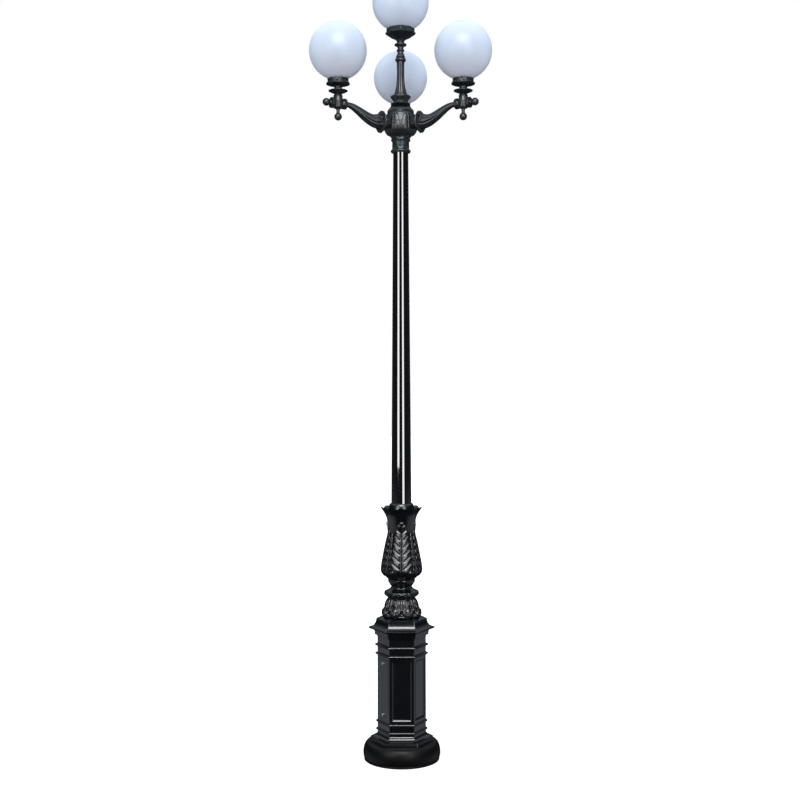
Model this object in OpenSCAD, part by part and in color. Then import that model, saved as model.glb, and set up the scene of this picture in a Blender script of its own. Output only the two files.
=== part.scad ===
// Cast street lamp post: a round base disc, a hexagonal pedestal with an access
// door, a leaf collar and an urn, a tapered steel pole, and a head with three
// arms and a centre stem that carry four opal globes.
// Millimetres. +Z is up, the front is towards -Y, and the origin is the centre
// of the base disc's underside.

/* [Base disc] */
// Radius of the disc at its bulge
disc_r = 207; // [195:1:260]
// Radius of the flat top under the pedestal
disc_top_r = 178; // [176:1:190]
// Height of the disc
disc_h = 96; // [80:1:130]
// Wall of the disc casting
disc_wall = 13; // [8:1:18]
// Thickness of the disc's floor
disc_floor = 16; // [10:1:24]
// Thickness of the top plate that the pedestal bolts to
disc_plate = 12; // [8:1:16]
// Pitch circle diameter of the foundation anchors
anchor_pcd = 160; // [150:1:180]
// Radius of an anchor hole
anchor_hole_r = 9; // [7:0.5:11]
// Radius of the cable entry in the floor
entry_r = 32; // [20:1:34]

/* [Pedestal] */
// Radius over the corners of the hexagonal shaft
ped_r = 131; // [124:1:160]
// Height of the pedestal casting
ped_h = 560; // [460:1:700]
// Radius over the corners of the pedestal's foot
ped_foot_r = 174.5; // [166:0.5:176]
// Wall of the shaft, square to a face
ped_wall = 11; // [8:0.5:13]
// Thickness of the bolting flanges at both ends
flange_t = 10; // [8:1:14]
// Width of the bolting flanges, inwards from the inner corners
flange_w = 20; // [18:1:24]
// Depth of the sunk panels and of the door's rebate
panel_depth = 6; // [4:0.5:7]
// Frame left beside each panel
panel_side = 11.5; // [8:0.5:16]
// Frame left between a panel and the nearest bead
panel_end = 20.5; // [14:0.5:30]

/* [Access door] */
// Thickness of the door plate
door_t = 5.5; // [4:0.5:7]
// Clearance round the door in its rebate
door_gap = 0.8; // [0.4:0.1:1.5]
// Width of the ledge that the door's seal presses on
ledge_side = 8; // [6:0.5:12]
// Height of the ledges that hold the screw bosses
ledge_end = 38; // [34:1:46]
// Distance from the rebate's end to a door screw
screw_end = 24.5; // [20:0.5:26]
// Radius of a door screw's shank
door_screw_r = 4; // [3:0.5:5]
// Thickness of the door seal
seal_t = 1.6; // [1:0.1:1.9]

/* [Pedestal cap] */
// Radius over the corners of the cap's edge
cap_r = 180; // [176:1:200]
// Height of the cap
cap_h = 112; // [100:1:140]
// Thickness of the cap's top
cap_plate = 16; // [10:1:20]
// Radius over the corners of the seat under the leaf collar
cap_seat_r = 108; // [106:1:114]

/* [Leaf collar and urn] */
// Radius of the leaf collar's foot
collar_r = 98; // [90:1:104]
// Height of the leaf collar
collar_h = 152; // [140:1:190]
// Radius of the hollow inside the leaf collar
collar_void_r = 62; // [52:1:66]
// Radius of the urn's foot
urn_foot_r = 56; // [52:1:62]
// Radius of the urn's belly
urn_belly_r = 105.5; // [96:0.5:125]
// Radius of the urn's waist
urn_neck_r = 68.6; // [68:0.2:76]
// Radius of the urn's flared rim
urn_rim_r = 113; // [106:1:130]
// Height of the urn
urn_h = 433; // [400:1:540]
// Wall of the urn
urn_wall = 10; // [7:0.5:12]

/* [Pole] */
// Radius of the pole at its foot
pole_foot_r = 54.7; // [52:0.1:55.6]
// Radius of the pole at its top
pole_top_r = 39.8; // [34:0.1:46]
// Length of the pole
pole_len = 2078; // [1400:1:3000]
// Wall of the pole
pole_wall = 4; // [3:0.5:5]
// Radius of the core tube
core_r = 38; // [32:0.5:40]
// Wall of the core tube
core_wall = 3.6; // [3:0.2:5]
// Length of the core tube above the pole's foot
core_reach = 320; // [290:1:400]

/* [Head] */
// Height of the hub casting
hub_h = 236; // [230:1:280]
// Radius of the hub's body
hub_r = 84.7; // [80:0.1:90]
// Depth of the pole's socket in the hub
socket_d = 72; // [60:1:76]
// Reach of an arm, from the pole's axis to the globe's axis
arm_reach = 375; // [330:1:480]
// Rise of an arm from root to tip
arm_rise = 69; // [40:1:110]
// Radius of an arm at its root
arm_root_r = 38; // [30:1:42]
// Radius of the arm's threaded spigot in the hub
spigot_r = 15; // [12:0.5:17]
// Length of the centre stem
stem_len = 286; // [260:1:420]

/* [Globes] */
// Radius of a globe
globe_r = 150; // [125:1:175]
// Wall of a globe
globe_wall = 3; // [2:0.5:5]
// Outer radius of a side globe's neck
side_neck_r = 48.5; // [44:0.5:52]
// Outer radius of the top globe's neck
top_neck_r = 65; // [58:0.5:70]
// Radius of a lamp's cap
lamp_cap_r = 13.4; // [12:0.1:14]
// Radius of a lamp's bulb
lamp_bulb_r = 30; // [24:1:36]

/* [Hidden] */
$fn = 64;
play = 0.3;   // between pieces that move past each other
snug = 0.2;   // round pieces that slip together and are then fixed
fit_d = 1;    // depth by which a cut runs past a face

base_iron = "#17191b";
pole_paint = "#08080b";
head_paint = "#2a3236";
zinc = "#9a9da0";
brass = "#b08d4a";
opal = "#eef0fa";
rubber = "#1b1b1d";

// directions: the door and the left arm share a side of the hexagon
door_az = 210;
arm_az = [210, 330, 90];

// levels of the stack
ped_z = disc_h;
cap_z = ped_z + ped_h;
collar_z = cap_z + cap_h;
urn_z = collar_z + collar_h;
shelf_drop = 113;                      // urn's rim down to the pole's seat
shelf_t = 14;
pole_z = urn_z + urn_h - shelf_drop;
pole_end = pole_z + pole_len;
hub_z = pole_end - socket_d;
hub_top = hub_z + hub_h;
arm_z = hub_z + 154;
tip_z = arm_z + arm_rise;
coronet_h = 70;
stem_z = hub_top + coronet_h;
top_cup_z = stem_z + stem_len;

// pedestal
apothem = ped_r * cos(30);
void_r = ped_r - ped_wall / cos(30);
flange_open_r = void_r - flange_w;
flange_bolt_r = void_r - 12.3;
bolt_r = 4;
bead_z = [65, 108, ped_h - 89, ped_h - 42];
bead_out = [9, 9, 12.5, 14];
bead_half = 8;
panel_w = ped_r - 2 * panel_side;
panel_z0 = ped_z + bead_z[1] + panel_end;
panel_z1 = ped_z + bead_z[2] - panel_end;
panel_h = panel_z1 - panel_z0;
panel_mid = (panel_z0 + panel_z1) / 2;
rebate_x = apothem - panel_depth;
hole_w = panel_w - 2 * ledge_side;
hole_h = panel_h - 2 * ledge_end;
screw_z = [panel_mid + panel_h / 2 - screw_end, panel_mid - panel_h / 2 + screw_end];
boss_r = 10;
boss_len = 18;
door_x = rebate_x + play + seal_t;
door_face = door_x + door_t;

// core tube and pole
bore_r = core_r + 2 * snug;
core_z = disc_floor;
core_end = pole_z + core_reach;
core_in = core_r - core_wall;
core_flange_r = core_r + 22;
core_flange_t = 12;
core_bolt_ring = core_r + 12;
shelf_bolt_z = pole_z + 24;
through_r = 6;
foot_cavity_r = pole_foot_r + 1.5;
function pole_r(z) = pole_foot_r + (pole_top_r - pole_foot_r) * (z - pole_z) / pole_len;

// electrical gear, in a frame turned so that +X points at the door
clamp_t = 5.4;
board_x = core_r + play + clamp_t + play;
board_t = 4;
board_w = 80;
board_h = 200;
board_z0 = panel_mid - 135;
box_x = board_x + board_t;
box_size = [34, 64, 90];
box_z0 = panel_mid - 55;
pocket = [12, 24, 60];
gland_r = 9;
gland_len = 22;
window_r = 13;
window_z = box_z0 + box_size[2] + gland_len + 29;
riser_r = 5;
riser_y = 16;
arm_cable_r = 3.5;

// head
socket_r = pole_foot_r + (pole_top_r - pole_foot_r) * (1 - socket_d / pole_len) + 2 * snug;
hub_floor = hub_z + socket_d + 27;
hub_roof = hub_top - 27;
hub_void_r = 45;
passage_r = riser_y + riser_r + 0.5;
boss_face = 112;
rosette_t = 16;
arm_root = boss_face + rosette_t;
spigot_in = 30;
arm_tip_r = 11.6;
tip_disc = 44;                         // half length of the tip boss
arm_end = arm_reach - tip_disc;
arm_spigot_end = arm_reach - 23;
arm_spigot_r = 10;
channel_r = 6;
spigot_bore_r = channel_r + 0.6;
lock_nut_r = 20;
lock_nut_out = sqrt(pow(hub_void_r, 2) - pow(lock_nut_r * cos(30), 2)) - play;
conduit_r = 8;
conduit_in = 5;
saucer_z = tip_z + 51;
cup_z = saucer_z + 23;
cup_floor = 26;
cup_h = 52;
cup_in = side_neck_r + 2.3;
seal_h = 3;
top_floor = 52;
top_cup_h = 70;
top_in = top_neck_r + 1.6;
holder_r = 21;
holder_h = 50;
holder_seat = 22.3;                    // depth from the holder's foot to the lamp's cap
knob_r = 20;

// ---------------------------------------------------------------- outlines

// Points on an ellipse's arc, from angle a0 to a1.
function arc(cx, cz, rx, rz, a0, a1, n = 8) =
    [for (i = [0:n]) let (a = a0 + (a1 - a0) * i / n) [cx + rx * cos(a), cz + rz * sin(a)]];

// A smooth curve through the points p, with n steps between neighbours.
function between(a, b, c, d, t) =
    0.5 * (2 * b + (c - a) * t + (2 * a - 5 * b + 4 * c - d) * t * t
           + (3 * b - a - 3 * c + d) * t * t * t);
function smooth(p, n = 3) = concat(
    [for (i = [0:len(p) - 2], k = [0:n - 1])
        between(p[max(i - 1, 0)], p[i], p[i + 1], p[min(i + 2, len(p) - 1)], k / n)],
    [p[len(p) - 1]]);

// The same outline moved inwards by t and up by up.
function inset(p, t, up = 0) = [for (q = p) [max(q[0] - t, 0.5), q[1] + up]];

// A half-round bead round a shaft of radius r.
function bead(r, z, out, half) = arc(r, z, out, half, -90, 90, 4);

// Closes an outline to the axis.
function closed(p) = concat([[0, p[0][1]]], p, [[0, p[len(p) - 1][1]]]);

module turned(p) { rotate_extrude() polygon(closed(p)); }
module hex_turned(p) { rotate_extrude($fn = 6) polygon(closed(p)); }
module hexagon(r, h) { cylinder(r = r, h = h, $fn = 6); }

// A cylinder along +X from x0 to x1.
module rod_x(r, x0, x1) { translate([x0, 0, 0]) rotate([0, 90, 0]) cylinder(r = r, h = x1 - x0); }

// A closed ring between two radii.
module ring(r_out, r_in, h) {
    difference() {
        cylinder(r = r_out, h = h);
        translate([0, 0, -fit_d]) cylinder(r = r_in, h = h + 2 * fit_d);
    }
}

// Sets its children at each of the arms' directions.
module at_arms() { for (a = arm_az) rotate([0, 0, a]) children(); }
module at_tips(z) { at_arms() translate([arm_reach, 0, z]) children(); }
module at_corners(r, z) {
    for (a = [0:60:300]) rotate([0, 0, a]) translate([r, 0, z]) children();
}

// ---------------------------------------------------------------- sweeps

function unit(v) = v / norm(v);
function heading(p, i) = unit(p[min(i + 1, len(p) - 1)] - p[max(i - 1, 0)]);

// One ring of a swept tube: n points at radius r about p, square to the heading d.
// The side direction is taken from the vector across, which no heading is parallel to.
function hoop(p, d, r, n, across) =
    let (u = unit(cross(across, d)), v = cross(d, u))
    [for (k = [0:n - 1]) let (a = 360 * k / n) p + r * (cos(a) * u + sin(a) * v)];

// A solid tube through the points p, with radius r.
module swept_rod(p, r, n, across = [0, 1, 0]) {
    m = len(p);
    points = [for (i = [0:m - 1]) each hoop(p[i], heading(p, i), r, n, across)];
    sides = [for (i = [0:m - 2], k = [0:n - 1]) let (a = i * n + k, b = i * n + (k + 1) % n)
        [a, a + n, b + n, b]];
    ends = [[for (k = [0:n - 1]) k], [for (k = [n - 1:-1:0]) (m - 1) * n + k]];
    polyhedron(points, concat(ends, sides), convexity = 4);
}

// A hollow tube through the points p: outer radii ro, one inner radius ri.
module swept_tube(p, ro, ri, n, across = [0, 1, 0]) {
    m = len(p);
    outer = [for (i = [0:m - 1]) each hoop(p[i], heading(p, i), ro[i], n, across)];
    inner = [for (i = [0:m - 1]) each hoop(p[i], heading(p, i), ri, n, across)];
    o = m * n;
    walls = [for (i = [0:m - 2], k = [0:n - 1]) let (a = i * n + k, b = i * n + (k + 1) % n)
        each [[a, a + n, b + n, b], [o + b, o + b + n, o + a + n, o + a]]];
    last = (m - 1) * n;
    ends = [for (k = [0:n - 1]) let (j = (k + 1) % n)
        each [[k, j, o + j, o + k], [last + j, last + k, o + last + k, o + last + j]]];
    polyhedron(concat(outer, inner), concat(walls, ends), convexity = 6);
}

// ---------------------------------------------------------------- base disc

disc_foot_z = 10;
disc_bulge_z = 38;
function disc_outline(t) = concat(
    [[disc_r - 7 - t, 0]],
    arc(disc_r - 7 - t, disc_bulge_z, 7, disc_bulge_z - disc_foot_z, -90, 0, 4),
    arc(disc_top_r - t, disc_bulge_z, disc_r - disc_top_r, disc_h - disc_bulge_z, 0, 90, 10));

module base_disc() {
    color(base_iron) difference() {
        turned(disc_outline(0));
        intersection() {
            turned(disc_outline(disc_wall));
            translate([0, 0, disc_floor])
                cylinder(r = disc_r, h = disc_h - disc_floor - disc_plate);
        }
        translate([0, 0, -fit_d]) cylinder(r = entry_r, h = disc_floor + 2 * fit_d);
        translate([0, 0, disc_h - disc_plate - fit_d])
            cylinder(r = flange_open_r, h = disc_plate + 2 * fit_d);
        for (a = [45:90:315]) rotate([0, 0, a]) translate([anchor_pcd / 2, 0, -fit_d])
            cylinder(r = anchor_hole_r, h = disc_floor + 2 * fit_d);
        for (a = [0:90:270]) rotate([0, 0, a]) translate([core_bolt_ring, 0, fit_d])
            cylinder(r = bolt_r + snug, h = disc_floor);
        at_corners(flange_bolt_r, disc_h - disc_plate - fit_d)
            cylinder(r = bolt_r + snug, h = disc_plate + 2 * fit_d);
    }
}

// ---------------------------------------------------------------- pedestal

ped_outline = concat(
    [[ped_foot_r, 0], [ped_foot_r - 3.5, 18], [ped_foot_r - 6.5, 25]],
    arc(ped_foot_r - 6.5, 45, ped_foot_r - 6.5 - ped_r - 3, 20, 270, 180, 6),
    [[ped_r, 47]],
    [for (i = [0:3]) each bead(ped_r, bead_z[i], bead_out[i], bead_half)],
    [[ped_r, ped_h]]);

module on_door_side() { rotate([0, 0, door_az]) children(); }

// A block standing on the door's side: from x0 to x1 outwards, width w, height z0 to z1.
module side_block(x0, x1, w, z0, z1) { translate([x0, -w / 2, z0]) cube([x1 - x0, w, z1 - z0]); }

module pedestal() {
    color(base_iron) difference() {
        union() {
            difference() {
                translate([0, 0, ped_z]) hex_turned(ped_outline);
                translate([0, 0, ped_z + flange_t]) hexagon(void_r, ped_h - 2 * flange_t);
                translate([0, 0, ped_z - fit_d]) cylinder(r = flange_open_r, h = ped_h + 2 * fit_d);
            }
            on_door_side() for (z = screw_z) translate([0, 0, z])
                rod_x(boss_r, rebate_x - boss_len, rebate_x - fit_d);
        }
        for (a = [30:60:330]) rotate([0, 0, a])
            side_block(rebate_x, apothem + fit_d, panel_w, panel_z0, panel_z1);
        on_door_side() {
            side_block(rebate_x - ped_wall, apothem, hole_w,
                       panel_mid - hole_h / 2, panel_mid + hole_h / 2);
            for (z = screw_z) translate([0, 0, z])
                rod_x(door_screw_r + play, rebate_x - boss_len - fit_d, apothem);
        }
        at_corners(flange_bolt_r, ped_z - fit_d) cylinder(r = bolt_r + snug, h = ped_h + 2 * fit_d);
    }
}

// A hexagon-headed bolt: shank of length l upwards from its head.
module hex_bolt(r, l, head) {
    cylinder(r = r, h = l);
    translate([0, 0, -head]) hexagon(1.85 * r, head);
}

module base_bolts() {
    color(zinc) at_corners(flange_bolt_r, ped_z + flange_t)
        mirror([0, 0, 1]) hex_bolt(bolt_r, flange_t + disc_plate, 5.5);
}

module access_door() {
    color(base_iron) on_door_side() difference() {
        side_block(door_x, door_face, panel_w - 2 * door_gap,
                   panel_z0 + door_gap, panel_z1 - door_gap);
        for (z = screw_z) translate([0, 0, z])
            rod_x(door_screw_r + play, door_x - fit_d, door_face + fit_d);
    }
}

module door_gasket() {
    color(rubber) on_door_side() difference() {
        side_block(rebate_x + play, door_x, panel_w - 2 * door_gap,
                   panel_z0 + door_gap, panel_z1 - door_gap);
        side_block(rebate_x, apothem, hole_w, panel_mid - hole_h / 2, panel_mid + hole_h / 2);
        for (z = screw_z) translate([0, 0, z])
            rod_x(door_screw_r + play, rebate_x, apothem);
    }
}

// A door screw: a round head with a six-sided socket, and a shank in the pedestal's boss.
module door_screw(z) {
    color(zinc) on_door_side() translate([0, 0, z]) difference() {
        union() {
            rod_x(door_screw_r, rebate_x - boss_len + 2, door_face + play + 1);
            rod_x(7.5, door_face + play, door_face + play + 5);
        }
        translate([door_face + play + 2, 0, 0]) rotate([0, 90, 0]) hexagon(3, 5);
    }
}
module door_screw_upper() { door_screw(screw_z[0]); }
module door_screw_lower() { door_screw(screw_z[1]); }

// ---------------------------------------------------------------- pedestal cap

cap_outline = concat(
    [[ped_r + 1, 0], [ped_r + 3, 8], [ped_r + 13, 11], [ped_r + 17, 32], [ped_r + 17, 35],
     [cap_r - 6, 44], [cap_r, 48], [cap_r, 52]],
    arc(cap_r, 98, cap_r - ped_r - 6, 46, 270, 180, 6),
    [[cap_seat_r, cap_h]]);
cap_flange_t = 14;

module pedestal_cap() {
    color(base_iron) translate([0, 0, cap_z]) difference() {
        hex_turned(cap_outline);
        translate([0, 0, cap_flange_t]) hexagon(void_r, cap_h - cap_plate - cap_flange_t);
        translate([0, 0, -fit_d]) cylinder(r = flange_open_r, h = cap_flange_t + 2 * fit_d);
        cylinder(r = bore_r, h = cap_h + fit_d);
        at_corners(flange_bolt_r, -fit_d) cylinder(r = bolt_r + snug, h = cap_flange_t);
    }
}

module cap_bolts() {
    color(zinc) at_corners(flange_bolt_r, cap_z - flange_t)
        hex_bolt(bolt_r, flange_t + cap_flange_t - 2, 5.5);
}

// ---------------------------------------------------------------- core tube

module core_tube() {
    color(zinc) difference() {
        translate([0, 0, core_z]) ring(core_r, core_in, core_end - core_z);
        on_door_side() translate([0, 0, window_z]) rod_x(window_r, core_in - 4, core_r + fit_d);
        translate([0, 0, shelf_bolt_z]) rod_x(through_r + 2 * snug, -core_r - fit_d, core_r + fit_d);
    }
}

module core_flange() {
    color(zinc) translate([0, 0, core_z]) difference() {
        ring(core_flange_r, core_r + snug, core_flange_t);
        for (a = [0:90:270]) rotate([0, 0, a]) translate([core_bolt_ring, 0, -fit_d])
            cylinder(r = bolt_r + snug, h = core_flange_t + 2 * fit_d);
    }
}

module core_bolts() {
    color(zinc) for (a = [0:90:270]) rotate([0, 0, a])
        translate([core_bolt_ring, 0, core_z + core_flange_t])
            mirror([0, 0, 1]) hex_bolt(bolt_r, core_flange_t + disc_floor - 4, 5.5);
}

module tube_grommet() {
    color(rubber) on_door_side() translate([0, 0, window_z]) difference() {
        union() {
            rod_x(window_r - snug, core_in - 2.5, core_r + 1.5);
            rod_x(window_r + 3, core_r + 1, core_r + 4);
        }
        rod_x(riser_r + 1, core_in - 4, core_r + 6);
    }
}

// ---------------------------------------------------------------- electrical gear

module gear_board() {
    color(zinc) on_door_side()
        side_block(board_x, box_x, board_w, board_z0, board_z0 + board_h);
}

// Two clamp bands round the core tube, each with a lug that carries the board.
module board_clamps() {
    color(zinc) on_door_side() for (z = [board_z0 + 20, board_z0 + board_h - 60])
        translate([0, 0, z]) ring(core_r + play + clamp_t, core_r + play, 14);
}

module terminal_box() {
    color("#6f7476") on_door_side() difference() {
        side_block(box_x, box_x + box_size[0], box_size[1], box_z0, box_z0 + box_size[2]);
        side_block(box_x + box_size[0] - pocket[0], box_x + box_size[0] + fit_d, pocket[1],
                   box_z0 + 15, box_z0 + 15 + pocket[2]);
    }
}

module fuse_carrier() {
    color("#e4e1d6") on_door_side() {
        side_block(box_x + box_size[0] - pocket[0], box_x + box_size[0] + 3, pocket[1] - 2 * snug,
                   box_z0 + 15 + snug, box_z0 + 15 + pocket[2] - snug);
        side_block(box_x + box_size[0] + 3, box_x + box_size[0] + 9, 6,
                   box_z0 + 25, box_z0 + 65);
    }
}

gland_x = box_x + 17;
module cable_glands() {
    color(rubber) on_door_side()
        for (z = [box_z0 + box_size[2], box_z0 - gland_len]) translate([gland_x, 0, z])
            difference() {
                union() {
                    cylinder(r = gland_r, h = gland_len);
                    translate([0, 0, 6]) hexagon(gland_r + 3, 10);
                }
                translate([0, 0, -fit_d]) cylinder(r = riser_r + snug, h = gland_len + 2 * fit_d);
            }
}

module earth_stud() {
    color(brass) on_door_side() translate([0, 26, board_z0 + 22]) {
        rod_x(4, box_x, box_x + 20);
        translate([box_x, 0, 0]) rotate([0, 90, 0]) hexagon(7.5, 6);
    }
}

// The riser runs from the terminal box over the core tube's window and up to the hub.
riser_up = [riser_y * sin(door_az), riser_y * cos(door_az)];
riser_route = concat(
    [for (q = [[0, play], [0, 22], [0, 30], [-5, 42], [-15, 50], [-27, 51], [-36, 51.5], [-50, 58]])
        [gland_x + q[0], 0, box_z0 + box_size[2] + q[1]]],
    [[0, riser_up[1] * 0.7, window_z + 30], [riser_up[0], riser_up[1], window_z + 60],
     [riser_up[0], riser_up[1], window_z + 400], [riser_up[0], riser_up[1], hub_floor]]);

module riser_cable() {
    color(rubber) on_door_side() swept_rod(smooth(riser_route, 3), riser_r, 8);
}

// ---------------------------------------------------------------- leaf collar and urn

collar_outline = smooth([
    [collar_r, 0], [collar_r + 9, 10], [collar_r + 8, 17], [collar_r + 2, 25],
    [collar_r - 9, 47], [collar_r - 13, 69], [collar_void_r + 13, collar_h - 62],
    [collar_void_r + 14, collar_h - 52], [collar_r - 6, collar_h - 34],
    [collar_r - 5, collar_h - 28], [collar_r - 10, collar_h - 18],
    [urn_foot_r + 6, collar_h - 4], [urn_foot_r + 4, collar_h]], 2);

module leaf_collar() {
    color(base_iron) translate([0, 0, collar_z]) difference() {
        turned(collar_outline);
        translate([0, 0, -fit_d]) cylinder(r = collar_void_r, h = collar_h - 24 + fit_d);
        cylinder(r = bore_r, h = collar_h + fit_d);
    }
}

urn_lower = [
    [urn_foot_r, 0], [urn_foot_r, 8], [urn_foot_r + 10, 24], [urn_foot_r + 15, 44],
    [urn_belly_r - 20, 62], [urn_belly_r - 3, 84], [urn_belly_r, 106],
    [urn_belly_r - 8.5, urn_h - 273], [urn_belly_r - 25, urn_h - 191],
    [urn_neck_r + 2, urn_h - 150], [urn_neck_r, urn_h - 129]];
urn_upper = [
    [urn_neck_r + 4.5, urn_h - 89], [urn_neck_r + 14, urn_h - 48], [urn_rim_r - 20, urn_h - 27],
    [urn_rim_r, urn_h]];
urn_outline = smooth(concat(urn_lower, urn_upper), 3);
urn_ledge_r = foot_cavity_r + 14;
urn_ledge = urn_h - 33;
bolt_seat = urn_neck_r + 3;            // flat seats for the through bolt's head and nut
spot_r = 13;

module urn() {
    color(base_iron) translate([0, 0, urn_z]) difference() {
        turned(urn_outline);
        intersection() {
            turned(inset(urn_outline, urn_wall));
            translate([0, 0, -fit_d])
                cylinder(r = 2 * urn_belly_r, h = urn_h - shelf_drop - shelf_t + fit_d);
        }
        translate([0, 0, -fit_d]) cylinder(r = urn_foot_r - urn_wall, h = 20);
        cylinder(r = bore_r, h = urn_h);
        translate([0, 0, urn_h - shelf_drop]) cylinder(r = foot_cavity_r, h = shelf_drop + fit_d);
        rotate_extrude() polygon([
            [0, urn_ledge], [urn_ledge_r, urn_ledge], [urn_rim_r - 25, urn_ledge + 6],
            [urn_rim_r - 8, urn_h], [urn_rim_r - 8, urn_h + fit_d], [0, urn_h + fit_d]]);
        translate([0, 0, shelf_bolt_z - urn_z]) {
            rod_x(through_r + 2 * snug, -urn_rim_r, urn_rim_r);
            for (x = [0, 180]) rotate([0, 0, x]) rod_x(spot_r, bolt_seat, urn_rim_r);
        }
    }
}

module pole_through_bolt() {
    color(zinc) translate([0, 0, shelf_bolt_z]) {
        rod_x(through_r, -bolt_seat - 10, bolt_seat + 1);
        translate([bolt_seat, 0, 0]) rotate([0, 90, 0]) hexagon(11, 7);
        translate([-bolt_seat - 9, 0, 0]) rotate([0, 90, 0]) hexagon(11, 9);
    }
}

collar_top = 52;
module weather_collar() {
    color(base_iron) translate([0, 0, urn_z + urn_ledge]) difference() {
        turned(concat([[urn_ledge_r - snug, 0]],
                      arc(pole_foot_r + 2.3, 8, urn_ledge_r - snug - pole_foot_r - 2.3,
                          collar_top - 8, 0, 90, 6)));
        translate([0, 0, -fit_d])
            cylinder(r1 = pole_r(urn_z + urn_ledge) + snug, h = collar_top + 2 * fit_d,
                     r2 = pole_r(urn_z + urn_ledge + collar_top) + snug);
    }
}

// ---------------------------------------------------------------- pole

module pole() {
    color(pole_paint) difference() {
        translate([0, 0, pole_z]) cylinder(r1 = pole_foot_r, r2 = pole_top_r, h = pole_len);
        translate([0, 0, pole_z - fit_d])
            cylinder(r1 = pole_foot_r - pole_wall, r2 = pole_top_r - pole_wall,
                     h = pole_len + 2 * fit_d);
        translate([0, 0, shelf_bolt_z])
            rod_x(through_r + 2 * snug, -pole_foot_r - fit_d, pole_foot_r + fit_d);
    }
}

guide_z = core_end - 60;
guide_t = 12;
module pole_foot_ring() {
    color(zinc) translate([0, 0, pole_z])
        ring(pole_r(pole_z + guide_t) - pole_wall - snug, core_r + snug, guide_t);
}
module pole_guide_ring() {
    color(zinc) translate([0, 0, guide_z])
        ring(pole_r(guide_z + guide_t) - pole_wall - snug, core_r + snug, guide_t);
}

// ---------------------------------------------------------------- hub

hub_outline = concat(
    arc(45.5, 9, 8, 9, -90, 90, 6),
    [[45.5, hub_h - 176], [51.8, hub_h - 168], [50, hub_h - 160]],
    smooth([[52, hub_h - 153], [70, hub_h - 136], [hub_r, hub_h - 108], [hub_r - 2, hub_h - 86],
            [hub_r - 8, hub_h - 39], [58, hub_h - 4]], 3),
    [[40, hub_h]]);

module hub() {
    color(head_paint) difference() {
        union() {
            translate([0, 0, hub_z]) turned(hub_outline);
            at_arms() translate([0, 0, arm_z]) rod_x(33, spigot_in + 20, boss_face);
        }
        translate([0, 0, hub_z - fit_d]) cylinder(r = socket_r, h = socket_d + fit_d);
        translate([0, 0, hub_z]) cylinder(r = passage_r, h = hub_h / 2);
        translate([0, 0, hub_floor]) cylinder(r = hub_void_r, h = hub_roof - hub_floor);
        translate([0, 0, hub_roof - fit_d]) cylinder(r = conduit_r + play, h = 60);
        at_arms() translate([0, 0, arm_z]) rod_x(spigot_r + play, spigot_in, boss_face + fit_d);
        for (a = [30:120:270]) rotate([0, 0, a]) translate([0, 0, hub_z + 36])
            rod_x(4 + snug, 30, 80);
    }
}

module hub_set_screws() {
    color(zinc) for (a = [30:120:270]) rotate([0, 0, a]) translate([0, 0, hub_z + 36])
        difference() {
            rod_x(4, pole_r(hub_z + 36) + snug, 50.5);
            translate([47.5, 0, 0]) rotate([0, 90, 0]) hexagon(2.2, 5);
        }
}

module hub_connector() {
    color("#d8d4c6") translate([0, 0, hub_floor]) cylinder(r = 24, h = 80);
}

module head_lock_nuts() {
    color(zinc) {
        at_arms() translate([lock_nut_out, 0, arm_z]) difference() {
            rotate([0, -90, 0]) hexagon(lock_nut_r, 9);
            rod_x(spigot_r + snug, -12, fit_d);
        }
        translate([0, 0, hub_roof - 8]) difference() {
            hexagon(14, 8);
            translate([0, 0, -fit_d]) cylinder(r = conduit_r + snug, h = 12);
        }
    }
}

coronet_outline = smooth([
    [26.5, 0], [36, 14], [50.6, 24], [38, 32], [44, 46], [52.5, coronet_h - 8],
    [52.5, coronet_h - 4], [38, coronet_h]], 3);

module coronet() {
    color(head_paint) translate([0, 0, hub_top]) difference() {
        turned(coronet_outline);
        translate([0, 0, -fit_d]) cylinder(r = conduit_r + play, h = coronet_h + 2 * fit_d);
    }
}

// ---------------------------------------------------------------- stem

stem_outline = concat(
    [[35.5, 0], [35.5, 8], [33.5, 10]],
    smooth([[33.5, 10], [24, 52], [20.5, 104], [20.5, stem_len - 121]], 3),
    arc(20.5, stem_len - 96, 8.2, 10, -90, 90, 6),
    [[24, stem_len - 80], [16.4, stem_len - 60]],
    arc(16, stem_len - 46, 5.5, 5, -90, 90, 4),
    [[16, stem_len - 33]],
    arc(19, stem_len - 16, 13.8, 8, -90, 90, 6),
    [[19, stem_len]]);

module stem() {
    color(head_paint) translate([0, 0, stem_z]) difference() {
        turned(stem_outline);
        translate([0, 0, -fit_d]) cylinder(r = conduit_r + play, h = stem_len + 2 * fit_d);
    }
}

conduit_z = hub_roof - 9;
conduit_top = top_cup_z + top_floor + 8;
module stem_conduit() {
    color(zinc) translate([0, 0, conduit_z]) ring(conduit_r, conduit_in, conduit_top - conduit_z);
}

module stem_cable() {
    color(rubber) translate([0, 0, hub_floor + 80])
        cylinder(r = arm_cable_r, h = conduit_top - hub_floor - 80);
}

// ---------------------------------------------------------------- arms

bend_start = arm_root + 22;
bend_end = arm_end - 3;
function eased(t) = let (s = min(max(t, 0), 1)) s * s * (3 - 2 * s);
function arm_level(x) = arm_z + arm_rise * eased((x - bend_start) / (bend_end - bend_start));
arm_steps = 24;
arm_line = [for (i = [0:arm_steps]) let (x = arm_root + (arm_end - 1 - arm_root) * i / arm_steps)
    [x, 0, arm_level(x)]];
arm_radii = [for (i = [0:arm_steps]) arm_root_r + (arm_tip_r - arm_root_r) * i / arm_steps];

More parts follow.
